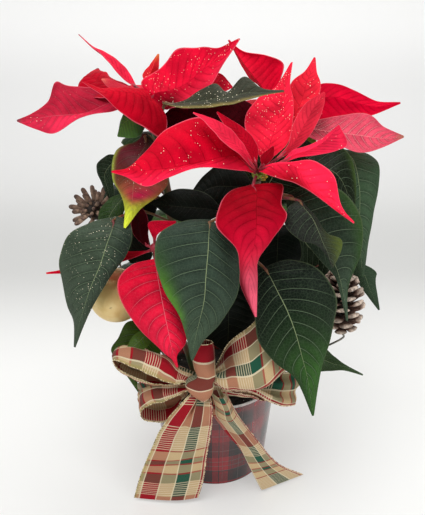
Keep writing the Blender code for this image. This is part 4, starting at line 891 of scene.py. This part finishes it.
def blade_material(name, roughness, gloss, dark, pale, rib, rim, shade=(1, 1, 1)):
    """The skin of one side of a leaf or bract: its veins, net, edge and gold glitter, with painted shade in
    the creases by its side veins and painted light on the swells between them.
    """
    skin = Skin(name, roughness, 0, gloss)
    pale, rib, rim = srgb(*pale), srgb(*rib), srgb(*rim)
    glitter, strength, light = skin.split(skin.own("traits"), "SeparateColor")
    near, side, along = vein_lines(skin)
    colour = skin.tint(skin.own(), shade)
    colour = skin.tint(colour, skin.noise(70).step(0.3, 0.7, 0.82, 1.14))
    vein = skin.mix(light, skin.tint(colour, dark), pale)
    thin = side.step(0.4, 0.98, 1, 0.2)
    line = near.step(0.01, 0.036, 0.8, 0) * thin * strength
    # Painted shade in the creases along the side veins and painted light on the swells between them; depth
    # sets how strong.
    depth = thin * (light * 0.65 + 0.3)
    colour = skin.tint(colour, (near.step(0.02, 0.34, 0.7, 1.12) - 1) * depth + 1)
    cell = skin.cells(420, "DISTANCE_TO_EDGE")
    net = cell.step(0.02, 0.1, 0.1, 0) * light
    colour = skin.mix(net * strength, colour, pale)
    colour = skin.mix(line, colour, vein)
    middle = (side / (along * -0.007 + 0.0125)).step(0.5, 1.1, 1, 0) * strength
    colour = skin.mix(middle, colour, skin.mix(light, vein, rib))
    colour = skin.mix(side.step(0.955, 0.99, 0, 0.5), colour, rim)
    dots = skin.cells(640)
    chosen = skin.split(dots.other("Color"), "SeparateColor")[0].below(glitter * 0.5)
    gold = dots.below(0.2) * chosen * skin.noise(55).step(0.42, 0.62)
    colour = skin.mix(gold, colour, srgb(*GLITTER))
    height = skin.noise(600, 2) - line * 1.2 - cell.step(0.02, 0.14, 0.22, 0)
    return skin.finish(colour, height, 0.0006, 0.6)


def flecked(name, roughness, metallic, scale, low, high, colours, grain, depth, strength=1.0, stretch=1):
    """Two colours that run into each other in flecks, or in upright streaks if stretch is under 1."""
    skin = Skin(name, roughness, metallic)
    point = skin.add("Mapping", skin.point, None, None, (1, 1, stretch))
    fleck = skin.noise(scale, point=point).step(low, high)
    colour = skin.mix(fleck, *(srgb(*each) for each in colours))
    return skin.finish(colour, skin.noise(grain, point=point), depth, strength)


def stalk_material(name, *colours):
    return flecked(name, 0.45, 0, 160, 0.35, 0.65, colours, 700, 0.0005, 0.5, 0.25)


def own_coloured(name, roughness, streak, tones, grain, depth, strength=1.0):
    """Each point's own colour, made lighter and darker by fine streaks."""
    skin = Skin(name, roughness)
    colour = skin.tint(skin.own(), skin.noise(*streak).step(0.3, 0.7, *tones))
    return skin.finish(colour, skin.noise(*grain), depth, strength)


def weft_bands():
    """The weft blocks along one repeat, as stops from 0 to 1. A weight of 0 lets the warp show."""
    bands = []
    place = 0.0
    for length, colour, weight in WEFT:
        bands.append((place / TARTAN_PERIOD, colour, weight))
        place += length
    return bands


def tartan_ribbon_material():
    """Wired tartan ribbon: warp bands across, weft blocks and a ladder of thin lines along, with painted
    shade right of the knot.
    """
    skin = Skin("tartan ribbon", 0.6, 0, 0.2)
    across, along, _ = skin.split(skin.add("UVMap"))
    warp, thick = skin.stripes(across, WARP)
    place = (along * (100 / TARTAN_PERIOD)).maths("FRACT") * TARTAN_PERIOD
    weft, weight = skin.stripes(place / TARTAN_PERIOD, weft_bands())
    colour = skin.mix(weight * (1 - thick), warp, weft)
    rung = (place / LADDER_PITCH).maths("FRACT").below(0.34)
    colour = skin.mix(rung * weight.below(0.2) * 0.7, colour, srgb(*CREAM))
    thread = skin.add("CombineXYZ", across * THREADS_ACROSS, along * THREADS_ALONG)
    colour = skin.tint(colour, skin.noise(1, 1, thread).step(0.2, 0.8, 0.86, 1.12))
    # Painted shade: the cloth is darkened near the point right of the knot that the foliage above shades.
    reach = skin.add("VectorMath", skin.point, seen(*DEEPEST_PAINTED_SHADE) * MM, operation="DISTANCE", out="Value")
    colour = skin.tint(colour, reach.step(0.004, 0.022, 0.3, 1))
    over = (across * (THREADS_ACROSS * math.tau)).maths("SINE")
    under = (along * (THREADS_ALONG * math.tau)).maths("SINE")
    return skin.finish(colour, over * under, 0.00015, 0.6)


def pot_material():
    """Glossy paper print: vertical stripes by the way round, level ones by height."""
    skin = Skin("pot tartan print", 0.16, 0, 0.35)
    x, y, z = skin.split(skin.point)
    turn = x.maths("ARCTAN2", y * -1) * (POT_REPEATS / math.tau) + POT_SHIFT
    upright, upright_line = skin.stripes(turn.maths("FRACT"), POT_UPRIGHT)
    level, level_line = skin.stripes(z / (POT_HEIGHT * MM), POT_LEVEL)
    colour = skin.mix(0.5, upright, level)
    colour = skin.mix(upright_line * 0.75, colour, upright)
    colour = skin.mix(level_line * 0.75, colour, level)
    colour = skin.tint(colour, skin.noise(500).step(0.3, 0.7, 0.8, 1.04))
    skin.set({"Coat Weight": 0.2, "Coat Roughness": 0.06})
    return skin.finish(colour, skin.noise(60), 0.0006, 0.25)


def soil_material():
    skin = Skin("peat soil", 0.95)
    crumb = skin.noise(420, 6)
    colour = skin.mix(crumb.step(0.35, 0.7), srgb(14, 11, 9), srgb(46, 36, 28))
    speck = skin.cells(300)
    few = skin.split(speck.other("Color"), "SeparateColor")[0].below(0.18)
    colour = skin.mix(speck.below(0.16) * few, colour, srgb(200, 196, 186))
    return skin.finish(colour, crumb, 0.003)


def gold_material():
    skin = Skin("matt gold", 0.42, 0.25)
    colour = skin.mix(skin.noise(85, 4).step(0.35, 0.7), srgb(236, 204, 132), srgb(248, 222, 158))
    colour = skin.mix(skin.noise(150, 2).step(0.66, 0.74) * 0.7, colour, srgb(150, 116, 64))
    return skin.finish(colour, skin.noise(420), 0.0004, 0.4)


def floor_material():
    """A pale sweep with painted shade in a grey band on the floor behind the plant, before it rises, and
    painted light high up; it glows a little to lift the shadows on it.
    """
    skin = Skin("pale floor", 0.6)
    _, back, high = skin.split(skin.point)
    # Painted shade: a grey band on the floor behind the plant; painted light: whiter where the sweep is
    # high.
    colour = skin.mix(back.step(0.12, 0.48), srgb(240, 240, 238), srgb(204, 204, 202))
    colour = skin.mix(back.step(0.52, 1.35), colour, srgb(240, 240, 239))
    colour = skin.mix(high.step(0.2, 0.42), colour, srgb(255, 255, 254))
    # Painted light: the floor glows in its own colour, which lifts the shadows on it.
    base = skin.mix(0.4, colour, (0, 0, 0))
    skin.set({"Base Color": base, "Emission Color": colour, "Emission Strength": 0.4})
    return skin.mat


def blade(name, rows, looks, steps, toward=None):
    """A thin leaf or bract that swells between its rib and edge and between its side veins."""
    first, rib, second = rails(rows)
    phase = random.Random(name).random() * math.tau

    @functools.cache
    def row_at(along):
        middle = smooth_way(rib, along)
        ahead = smooth_way(rib, min(along + 0.02, 1)) - smooth_way(rib, max(along - 0.02, 0))
        left = smooth_way(first, along) - middle
        right = smooth_way(second, along) - middle
        return middle, left, right, left.cross(ahead).normalized(), ahead.cross(right).normalized()

    middle, _, _, up_left, up_right = row_at(0.5)
    over = 1 if (up_left + up_right).dot(toward or EYE - middle) > 0 else -1
    if looks.get("under"):
        over = -over

    def place(across, along):
        middle, left, right, up_left, up_right = row_at(along)
        side = abs(2 * across - 1)
        second_half = across > 0.5
        reach, up = (left, up_left) if across < 0.5 else (right, up_right)
        width = reach.length
        swell = 4 * side * (1 - side) * width * BLADE_PUFF
        part = (along - VEIN_SWEEP * side**VEIN_BEND) * SIDE_VEINS + VEIN_SHIFT * second_half
        pillow = math.sin(math.pi * (part % 1)) ** 0.8 - 0.6
        quilt = pillow * width * QUILT_HEIGHT * math.sin(math.pi * min(side * 1.15, 1))
        ripple = RIPPLE_HEIGHT * width * side**4 * math.sin(along * RIPPLES + phase + 2 * second_half)
        return middle + reach * side + up * (swell + over * quilt * looks.get("quilt", 1) + ripple)

    sheet = shaped_grid(name, *steps, place)
    if over > 0:
        sheet.data.flip_normals()
    paint(sheet, looks, *steps)
    return sheet


def paint(sheet, looks, across, along):
    """Writes the blade's colours, painted shade and sheen marks among them, and how much glitter, vein and
    light net it shows.
    """
    colours = []
    for j in range(along + 1):
        for i in range(across + 1):
            colour = looks["ground"]
            for tint, u, v, wide, long in looks["marks"]:
                share = math.exp(-((i / across - u) / wide) ** 2 - ((j / along - v) / long) ** 2)
                colour = between(colour, tint, share)
            colours.append(colour)
    colour_points(sheet, colours)
    colour_points(sheet, (looks.get("glitter", 0), looks.get("vein", 1), looks.get("light", 0)), "traits")


def make_blades(name, blades, bars, skins, big_from, stalk, slot, node):
    """Blades on their stalks, joined with these bars.

    A stalk runs from its own way to these shares of the rib, in so many steps, and its
    radius falls to a fifth by this power.
    """
    shares, steps, radius, power, bark = stalk
    sheets = []
    for title, rows, looks, toward, way in blades:
        sheet = blade(title, rows, looks, BIG_STEPS if len(rows) >= big_from else SMALL_STEPS, toward)
        coat(sheet, *skins)
        sheets.append(sheet)
        rib = rails(rows)[1]
        line = smooth_line(way + [smooth_way(rib, share) for share in shares], steps)
        bars.append(bar(line, lambda share: radius * (1 - 0.8 * share**power), bark))
    sheet = join(name, sheets)
    apply_solidify(sheet, BLADE_THICKNESS, 1)
    dress(join(name, [sheet] + bars), slot, node)


def hub_centre(key):
    return Vector(STEMS[key][-1]) + UP * (GAP + HUB_RADIUS)


def make_bloom(key):
    """The red bracts of one bloom, on short stalks round its hub."""
    centre = hub_centre(key)
    hub = ball(centre, HUB_RADIUS, HUB_SKIN if key == "b" else BRACT_STALK)
    blades = [(f"{key}_{name}", as_seen(rows), looks, None, [centre])
              for name, (looks, *rows) in BRACTS[key].items()]
    for i, (angle, length, width, droop) in enumerate(BACK_BRACTS.get(key, [])):
        out = compass(angle)
        rows = drooping(centre + out * 9 + UP, angle, length, width, 14, droop)
        blades.append((f"{key}_back_{i}", rows, look((RED, BRIGHT, DEEP)[i % 3]), out + UP, [centre]))
    stalk = ((0.02, 0.07, 0.13), 10, STALK_RADIUS, 2, BRACT_STALK)
    skins = (BRACT_TOP, BRACT_UNDER)
    make_blades(f"bloom_{key}", blades, [hub], skins, 6, stalk, "bract", f"bracts_{key}")


def make_stem(key):
    """One stem with its leaves, each on its petiole."""
    way = [Vector(p) for p in STEMS[key]]
    foot = Vector((way[0].x, way[0].y, SOIL_TOP - HOLE_DEPTH + GAP))
    radius = STEM_RADIUS if key in FLOWERS else SHOOT_RADIUS
    stem = bar([foot] + smooth_line(way, 24), radius, STEM_SKIN, 12)
    blades = [(f"{key}_{name}", as_seen(rows), {"light": 1, **looks}, None,
               [at_height(way, height)] + [seen(*p) for p in via])
              for name, (height, via, looks, *rows) in LEAVES[key].items()]
    for i, (height, angle, reach, length, width, droop) in enumerate(BACK_LEAVES.get(key, [])):
        start, out = at_height(way, height), compass(angle)
        rows = drooping(start + (out + UP * 0.3) * reach, angle, length, width, 5, droop)
        looks = look((GREEN, BLUE_GREEN, MID_GREEN)[i % 3], light=1)
        via = start + (out * 0.5 + UP * 0.24) * reach
        blades.append((f"{key}_back_{i}", rows, looks, out + UP, [start, via]))
    stalk = ((0.03, 0.08, 0.14), 18, PETIOLE_RADIUS, 6, PETIOLE_SKIN)
    skins = (LEAF_TOP, LEAF_UNDER)
    make_blades(f"foliage_{key}", blades, [stem], skins, 5, stalk, "leaf", f"leafy_stem_{key}")


def finish_cloth(sheet, name, node, length, lines, skins):
    """Gives laid cloth its thickness, and a beaded wire along each of its two edges."""
    def beaded(share):
        return EDGE_RADIUS + BEAD_SWELL * math.sin(share * length * BEADS)

    edging = join(name + "_edging", [bar(line, beaded, skin, 6) for line, skin in zip(lines, skins)])
    smooth(edging, 70)
    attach(edging, "root")
    apply_solidify(sheet, RIBBON_THICKNESS)
    dress(sheet, "ribbon", node)


def make_ribbon(name):
    """A piece of the bow between its two edges, gathered at the knot, with a wired edge each side."""
    gold, arch, pleats_from, lay, gather, near, far = RIBBON[name]
    near = [seen(*p) for p in near]
    far = [seen(*p) for p in far]
    tail = "tail" in name
    both = zip(smooth_line(near, RUN_MARKS), smooth_line(far, RUN_MARKS))
    middles = [(one + two) / 2 for one, two in both]
    run = [0.0]
    for one, two in zip(middles, middles[1:]):
        run.append(run[-1] + (two - one).length)
    length = run[-1]

    def reached(along):
        place = along * RUN_MARKS
        i = min(int(place), RUN_MARKS - 1)
        return run[i] + (run[i + 1] - run[i]) * (place - i)

    def outward(along):
        after, before = min(along + 0.01, 1), max(along - 0.01, 0)
        ahead = (smooth_way(near, after) + smooth_way(far, after)
                 - smooth_way(near, before) - smooth_way(far, before))
        return (smooth_way(far, along) - smooth_way(near, along)).cross(ahead).normalized()

    front = 0.5 if tail else 0.25
    facing = 1 if outward(front).dot(EYE - smooth_way(near, front)) > 0 else -1

    def place(across, along):
        one = smooth_way(near, along)
        chord = smooth_way(far, along) - one
        out = outward(along) * facing
        width = chord.length
        done = reached(along)
        if name == "bow_tail_right":
            return rolled_place(one, chord, out, across, done)
        sway = 0.4 * math.sin(done * 0.19 + across * 5) + 0.3 * math.sin(done * 0.43 - across * 9)
        if tail:
            hidden = math.exp(-((done / TAIL_DRAWN) ** 2))
            shift, valley = tucked(across, *TAIL_HIDDEN, hidden)
            bow = arch * math.sin(math.pi * across) * (1 - hidden)
            return one + chord * shift + out * (bow + sway - TAIL_PLEAT * hidden * valley)
        slack = math.sqrt(2 * (max(PLEATED_SHARE * RIBBON_WIDTH / width, 1) ** 2 - 1))
        part = max((across - pleats_from) / (1 - pleats_from), 0)
        waves = math.tau * PLEATS
        pleat = slack * width * (1 - pleats_from) / waves * math.sin(part * waves)
        half = 2 * along if along < 0.5 else 2 * (1 - along)
        high = arch * math.sin(math.pi * half) ** 0.9 * (1 if along < 0.5 else 0.3)
        bow = high * math.sin(math.pi * across**0.6)
        shift = across + (across**1.6 - across) * min(high / 9, 1)
        still = 1 - 0.85 * math.exp(-(((along - 0.49) / 0.12) ** 2)) if name == "bow_loop_right_lower" else 1
        return one + chord * shift + out * (bow + pleat * still + sway)

    steps = (CLOTH_ACROSS, int(length / CLOTH_STEP))
    sheet = shaped_grid(name + "_cloth", *steps, place)
    lay_map(sheet, steps, lambda u, v: (piecewise(gather, u if gold == "near" else 1 - u),
                                        piecewise(lay, reached(v)) / 100))
    coat(sheet, TARTAN)
    count = int(length / EDGE_STEP)
    lines = [[place(across, i / count) for i in range(count + 1)] for across in (0, 1)]
    skins = (GOLD_EDGE, RED_EDGE) if gold == "near" else (RED_EDGE, GOLD_EDGE)
    finish_cloth(sheet, name, name, length, lines, skins)


def tucked(across, start, end, hidden):
    """Where a point across the cloth lies when a pleat hides the stretch from start to end."""
    part = min(max((across - start) / (end - start), 0), 1)
    tuck = hidden * 0.95 * (end - start)
    return (across - tuck * part) / (1 - tuck), math.sin(math.pi * part)


def rolled_place(one, chord, out, across, done):
    """A point across the right tail, whose left third is folded back behind the rest."""
    width = chord.length
    high = max(11 - done / 10, 0)
    if across >= ROLL_SHARE:
        part = (across - ROLL_SHARE) / (1 - ROLL_SHARE)
        return one + chord * part + out * high * math.sin(math.pi * part)
    part = (ROLL_SHARE - across) / ROLL_SHARE
    peek = 3.4 * math.sin(math.pi * min(done / 80, 1)) * math.sin(math.pi * min(part * 1.4, 1))
    under = min(0.75, 14 / width) * max(part - 0.35, 0) / 0.65
    return one + chord * (under - peek / width) - out * (0.6 + 3 * part)


def make_knot():
    """The ribbon wrapped round the middle of the bow, with its width upright."""
    centres = [seen(*row[:3]) for row in KNOT]
    sizes = [Vector((row[3] * 0.85, row[4], 0)) for row in KNOT]

    def place(around, upward):
        centre, size = smooth_way(centres, upward), smooth_way(sizes, upward)
        angle = math.tau * around
        fold = 1 + 0.06 * math.sin(angle * 6 + upward * 5) * math.exp(-((upward - 0.46) / 0.2) ** 2)
        lift = 13 * (1 - upward) ** 3 * (1 + math.cos(angle + 0.3)) / 2
        return centre + Vector((size.x * math.sin(angle), size.y * math.cos(angle), 0)) * fold + UP * lift

    sheet = shaped_grid("knot_cloth", *KNOT_STEPS, place)
    lay_map(sheet, KNOT_STEPS, lambda u, v: (piecewise(KNOT_BANDS, v), (u * KNOT_ROUND + KNOT_START) / 100))
    coat(sheet, TARTAN)
    weld(sheet, outwards=False)
    lines = [[place(i / KNOT_EDGE_STEPS, end) for i in range(KNOT_EDGE_STEPS + 1)] for end in (0, 1)]
    finish_cloth(sheet, "knot", "bow_knot", KNOT_ROUND, lines, (RED_EDGE, GOLD_EDGE))


def scale_point(point, length, wide, thick, curve):
    """Where a point of a plain ball lies on a woody scale, from its slim foot to its thick end."""
    x, y, z = point
    share = (z + 1) / 2
    ring = math.hypot(x, y) or 1
    flat_end = (1 - abs(2 * share - 1) ** 7) ** 0.5
    half = (wide[0] + (wide[1] - wide[0]) * share**0.7) * flat_end
    high = (thick[0] + (thick[1] - thick[0]) * share**3) * flat_end
    return Vector((length * share, half * y / ring, high * x / ring + curve * share**2))


def make_cone(name):
    """A pine cone: a slim core with open woody scales set round it in a spiral."""
    low, high, radius, count, wide, thick, dark, light, end = CONES[name]
    base, tip = seen(*low), seen(*high)
    length = (tip - base).length
    turn = (tip - base).to_track_quat("Z", "Y").to_matrix()
    draw = random.Random(name)
    dark, light, end = srgb(*dark), srgb(*light), srgb(*end)
    core = round_mesh(20, 14)
    for vert in core.data.vertices:
        x, y, z = vert.co
        girth = radius * CORE_GIRTH
        local = Vector((x * girth, y * girth, (z + 1) * length * CORE_LENGTH))
        vert.co = (turn @ local + base) * MM
    colour_points(core, srgb(*CORE_BROWN))
    pieces = [core]
    for i in range(count):
        share = (i + 0.5) / count
        girth = math.sin(math.pi * (0.16 + 0.78 * share)) ** 0.8
        size = 0.55 + 0.45 * girth
        curve = draw.uniform(-1, 1.5)
        tone = draw.uniform(0.8, 1.15)
        lift = math.radians(SCALE_LEAN + SCALE_TURNED_UP * share)
        spin = Matrix.Rotation(i * SCALE_TURN, 3, "Z") @ Matrix.Rotation(-lift, 3, "Y")
        rise = UP * length * (0.08 + 0.72 * share)
        piece = round_mesh(10, 12)
        colours = []
        for vert in piece.data.vertices:
            s = (vert.co.z + 1) / 2
            if s < SCALE_LIGHT:
                colour = between(dark, light, s / SCALE_LIGHT)
            else:
                colour = between(light, end, (s - SCALE_LIGHT) / (1 - SCALE_LIGHT))
            colours.append(tuple(tone * part for part in colour))
            local = scale_point(vert.co, radius * girth, [w * size for w in wide], thick, curve)
            vert.co = (turn @ (spin @ local + rise) + base) * MM
        colour_points(piece, colours)
        pieces.append(piece)
    whole = join(name + "_scales", pieces)
    coat(whole, WOOD)
    dress(whole, "cone", name)


def bauble_pose():
    """The middle of the bauble, and the way that its cap faces."""
    centre = seen(*BAUBLE_AT)
    return centre, (Vector(PICKS["bauble_pick"][0]) - centre).normalized()


def held_ends():
    """The end of each pick, just clear of what it holds, and the way that it leaves."""
    ends = {"bow_pick": (Vector(KNOT_BACK), Vector((0, 1, -0.4)))}
    for name, (low, high, *_) in CONES.items():
        base = seen(*low)
        away = (base - seen(*high)).normalized()
        ends[name + "_pick"] = (base + away * GAP, away)
    centre, down = bauble_pose()
    ends["bauble_pick"] = (centre + down * (BAUBLE_RADIUS + CAP_HEIGHT / 2 + GAP), down)
    return ends


def make_picks():
    """Wires that leave what they hold straight and bend down into their holes in the soil."""
    for name, (end, away) in held_ends().items():
        way = [end, end + away * 6] + [Vector(p) for p in PICKS[name]]
        foot = Vector((way[-1].x, way[-1].y, SOIL_TOP - WIRE_DEPTH + GAP))
        dress(bar(smooth_line(way, 40) + [foot], WIRE_RADIUS, STEEL, 12, name + "_wire"), "wire", name)


def make_bauble():
    """A matt gold ball with a small fluted cap, turned towards the pick that holds it."""
    centre, down = bauble_pose()
    shell = ball(centre, BAUBLE_RADIUS, MATT_GOLD, 64)
    turn = down.to_track_quat("Z", "Y").to_matrix()
    top = CAP_HEIGHT / 2
    profile = [Vector(p) for p in ((0, -top), (CAP_RADIUS, -top), (CAP_RADIUS, 1.6), (CAP_RADIUS * 0.9, 2.6),
                                   (CAP_RADIUS * 0.5, top), (0, top))]

    def place(around, along):
        at = along * (len(profile) - 1)
        i = min(int(at), len(profile) - 2)
        radius, height = profile[i].lerp(profile[i + 1], at - i)
        radius *= 1 + 0.04 * math.sin(14 * math.tau * around)
        return centre + turn @ polar(around, radius, height) + down * BAUBLE_RADIUS

    cap = shaped_grid("bauble_cap", 56, (len(profile) - 1) * 3, place)
    weld(cap)
    coat(cap, STEEL_GOLD)
    dress(join("bauble_and_cap", [shell, cap]), "bauble", "bauble")


def make_flowers(key):
    """The cluster of small flower cups in the middle of a bloom, with their stamens."""
    *facing, count, radius = FLOWERS[key]
    away = Vector(facing).normalized()
    foot = hub_centre(key) + away * (HUB_RADIUS + GAP)
    turn = away.to_track_quat("Z", "Y").to_matrix()
    green, red = srgb(*CUP_GREEN), srgb(*CUP_RED)
    pieces = []
    for i, place in enumerate([UP * 1.6] + [polar(i / count, 1.45, 1.1) for i in range(count)]):
        middle = place * radius
        cup = round_mesh(16, 12)
        colours = []
        for vert in cup.data.vertices:
            x, y, z = vert.co
            lip = max(z - 0.55, 0)
            narrow = 1 - lip * 0.3
            local = Vector((x * narrow, y * narrow, z * 1.25 - lip * 1.3)) * radius + middle
            vert.co = (turn @ local + foot) * MM
            colours.append(between(green, red, min(lip * 2.4, 1)))
        colour_points(cup, colours)
        pieces.append(cup)
        for k in range(3):
            lean = Vector((math.cos(2.1 * k + i), math.sin(2.1 * k + i), 0)) * 0.35 * radius
            line = [turn @ (middle + lean * t + UP * radius * (0.6 + t)) + foot for t in (0, 0.6, 1.1)]
            stamen = bar(line, STAMEN_RADIUS, sides=6)
            colour_points(stamen, srgb(*STAMEN_YELLOW))
            pieces.append(stamen)
    whole = join(f"flower_cups_{key}", pieces)
    coat(whole, CUP)
    dress(whole, "flower", f"flowers_{key}")


def make_pot():
    """The cover pot: a sloping wall with a small rolled rim and a flat base."""
    base, rim, top = POT_BASE_RADIUS, POT_RIM_RADIUS, POT_HEIGHT
    inside = rim - POT_WALL
    profile = [
        (0, 0), (base - 0.8, 0), (base - 0.2, 0.3), (base, 0.9), (base, 2.2), (base + 3 * POT_SLOPE, 3),
        (rim - 0.9, top - 3), (rim - 0.1, top - 2.2), (rim, top - 0.9), (rim - 0.4, top),
        (inside + 0.7, top), (inside, top - 0.6), (base - POT_WALL, POT_FLOOR), (0, POT_FLOOR),
    ]
    last = len(profile) - 1

    def place(around, along):
        return polar(around, *profile[round(along * last)])

    pot = shaped_grid("cover_pot", 144, last, place)
    weld(pot)
    coat(pot, POT_PRINT)
    dress(pot, "pot", "pot")


def make_soil():
    """Peat up to just under the rim, with a lumpy top."""
    low = POT_FLOOR + GAP
    inside = POT_BASE_RADIUS - POT_WALL - GAP - 0.2

    def place(around, along):
        if along < 0.1:
            return polar(around, (inside + low * POT_SLOPE) * along / 0.1, low)
        way = polar(around, (inside + SOIL_TOP * POT_SLOPE) * (1 - (along - 0.1) / 0.9))
        lump = noise.noise(way * 0.16) * 1.3 + noise.noise(way * 0.5) * 0.8
        return way + UP * (SOIL_TOP + lump - 0.6)

    soil = shaped_grid("peat", 120, 60, place)
    weld(soil)
    coat(soil, PEAT)
    dress(soil, "soil", "soil")


def make_stage():
    """A pale sweep: a floor that curves up into a wall behind the plant."""
    def place(across, along):
        x = (across - 0.5) * SWEEP_WIDTH
        run = (along - 0.5) * SWEEP_DEPTH
        if run < SWEEP_BEND:
            return Vector((x, run, 0))
        angle = min((run - SWEEP_BEND) / SWEEP_ARC, 1) * math.pi / 2
        rise = SWEEP_RADIUS * (1 - math.cos(angle)) + max(run - SWEEP_BEND - SWEEP_ARC, 0) * 5
        return Vector((x, SWEEP_BEND + SWEEP_RADIUS * math.sin(angle), rise))

    sweep = shaped_grid("studio_sweep", 2, 120, place)
    coat(sweep, FLOOR)
    only(sweep)
    bpy.ops.object.shade_smooth()


def make_lights():
    scene = bpy.context.scene
    for name, (place, size, power) in LIGHTS.items():
        lamp = bpy.data.lights.new(name, "AREA")
        lamp.shape = "RECTANGLE"
        lamp.size, lamp.size_y = size
        lamp.energy = power
        thing = link(bpy.data.objects.new(name, lamp))
        thing.location = place
        thing.rotation_euler = (LIGHT_AIM - Vector(place)).to_track_quat("-Z", "Y").to_euler()
    scene.world = scene.world or bpy.data.worlds.new("studio")
    scene.world.use_nodes = True
    backdrop = scene.world.node_tree.nodes["Background"]
    backdrop.inputs["Color"].default_value = (1, 1, 1, 1)
    backdrop.inputs["Strength"].default_value = BACKDROP_STRENGTH
    scene.view_settings.view_transform = "Standard"


def make_camera():
    lens = bpy.data.cameras.new("camera")
    lens.lens = LENS
    camera = link(bpy.data.objects.new("camera", lens))
    camera.location = EYE * MM
    camera.rotation_euler = (math.radians(90 - LOOK_DOWN), 0, 0)
    bpy.context.scene.camera = camera


make_camera()
# Blade skins: roughness, gloss, what darkens its dark veins, then the pale vein, rib and edge
BRACT_TOP = blade_material("bract upper side", 0.5, 0.02, (0.62, 0.3, 0.45),
                           (250, 120, 140), (244, 130, 140), (246, 110, 130))
BRACT_UNDER = blade_material("bract underside", 0.6, 0.05, (1.1, 2, 2),
                             (250, 160, 160), (244, 150, 150), (244, 130, 140), (1.02, 1.5, 1.4))
LEAF_TOP = blade_material("leaf upper side", 0.42, 0.12, (2.2, 2.2, 2),
                          (112, 134, 104), (144, 158, 116), (88, 102, 70))
LEAF_UNDER = blade_material("leaf underside", 0.6, 0.1, (1.5, 1.5, 1.5),
                            (150, 170, 120), (170, 184, 134), (150, 166, 116), (1.8, 1.8, 1.6))
BRACT_STALK = stalk_material("bract stalks", (120, 14, 34), (186, 50, 70))
HUB_SKIN = stalk_material("bloom hub", (120, 140, 40), (160, 170, 60))
PETIOLE_SKIN = stalk_material("petioles", (110, 30, 40), (120, 90, 50))
STEM_SKIN = stalk_material("stems", (62, 84, 40), (110, 70, 50))
TARTAN = tartan_ribbon_material()
GOLD_EDGE = flecked("gold wire edge", 0.38, 0.35, 700, 0.42, 0.58,
                    ((120, 92, 52), (244, 230, 186)), 1800, 0.0003)
RED_EDGE = flecked("red and gold wire edge", 0.5, 0, 520, 0.45, 0.56,
                   ((126, 20, 28), (236, 212, 170)), 1800, 0.0003)
POT_PRINT = pot_material()
PEAT = soil_material()
WOOD = own_coloured("cone scales", 0.75, (330, 5), (0.45, 1.35), (650, 4), 0.0012, 0.8)
MATT_GOLD = gold_material()
STEEL_GOLD, STEEL = (flecked("steel wire", 0.35, 1.0, 300, 0.3, 0.7,
                             ((120, 118, 112), (170, 168, 160)), 900, 0.0002) for _ in range(2))
CUP = own_coloured("flower cups", 0.45, (500,), (0.8, 1.15), (1200,), 0.0003)
FLOOR = floor_material()

make_pot()
make_soil()
for key in STEMS:
    make_stem(key)
for key in BRACTS:
    make_bloom(key)
for key in FLOWERS:
    make_flowers(key)
for name in RIBBON:
    make_ribbon(name)
make_knot()
for name in CONES:
    make_cone(name)
make_bauble()
make_picks()
make_stage()
make_lights()
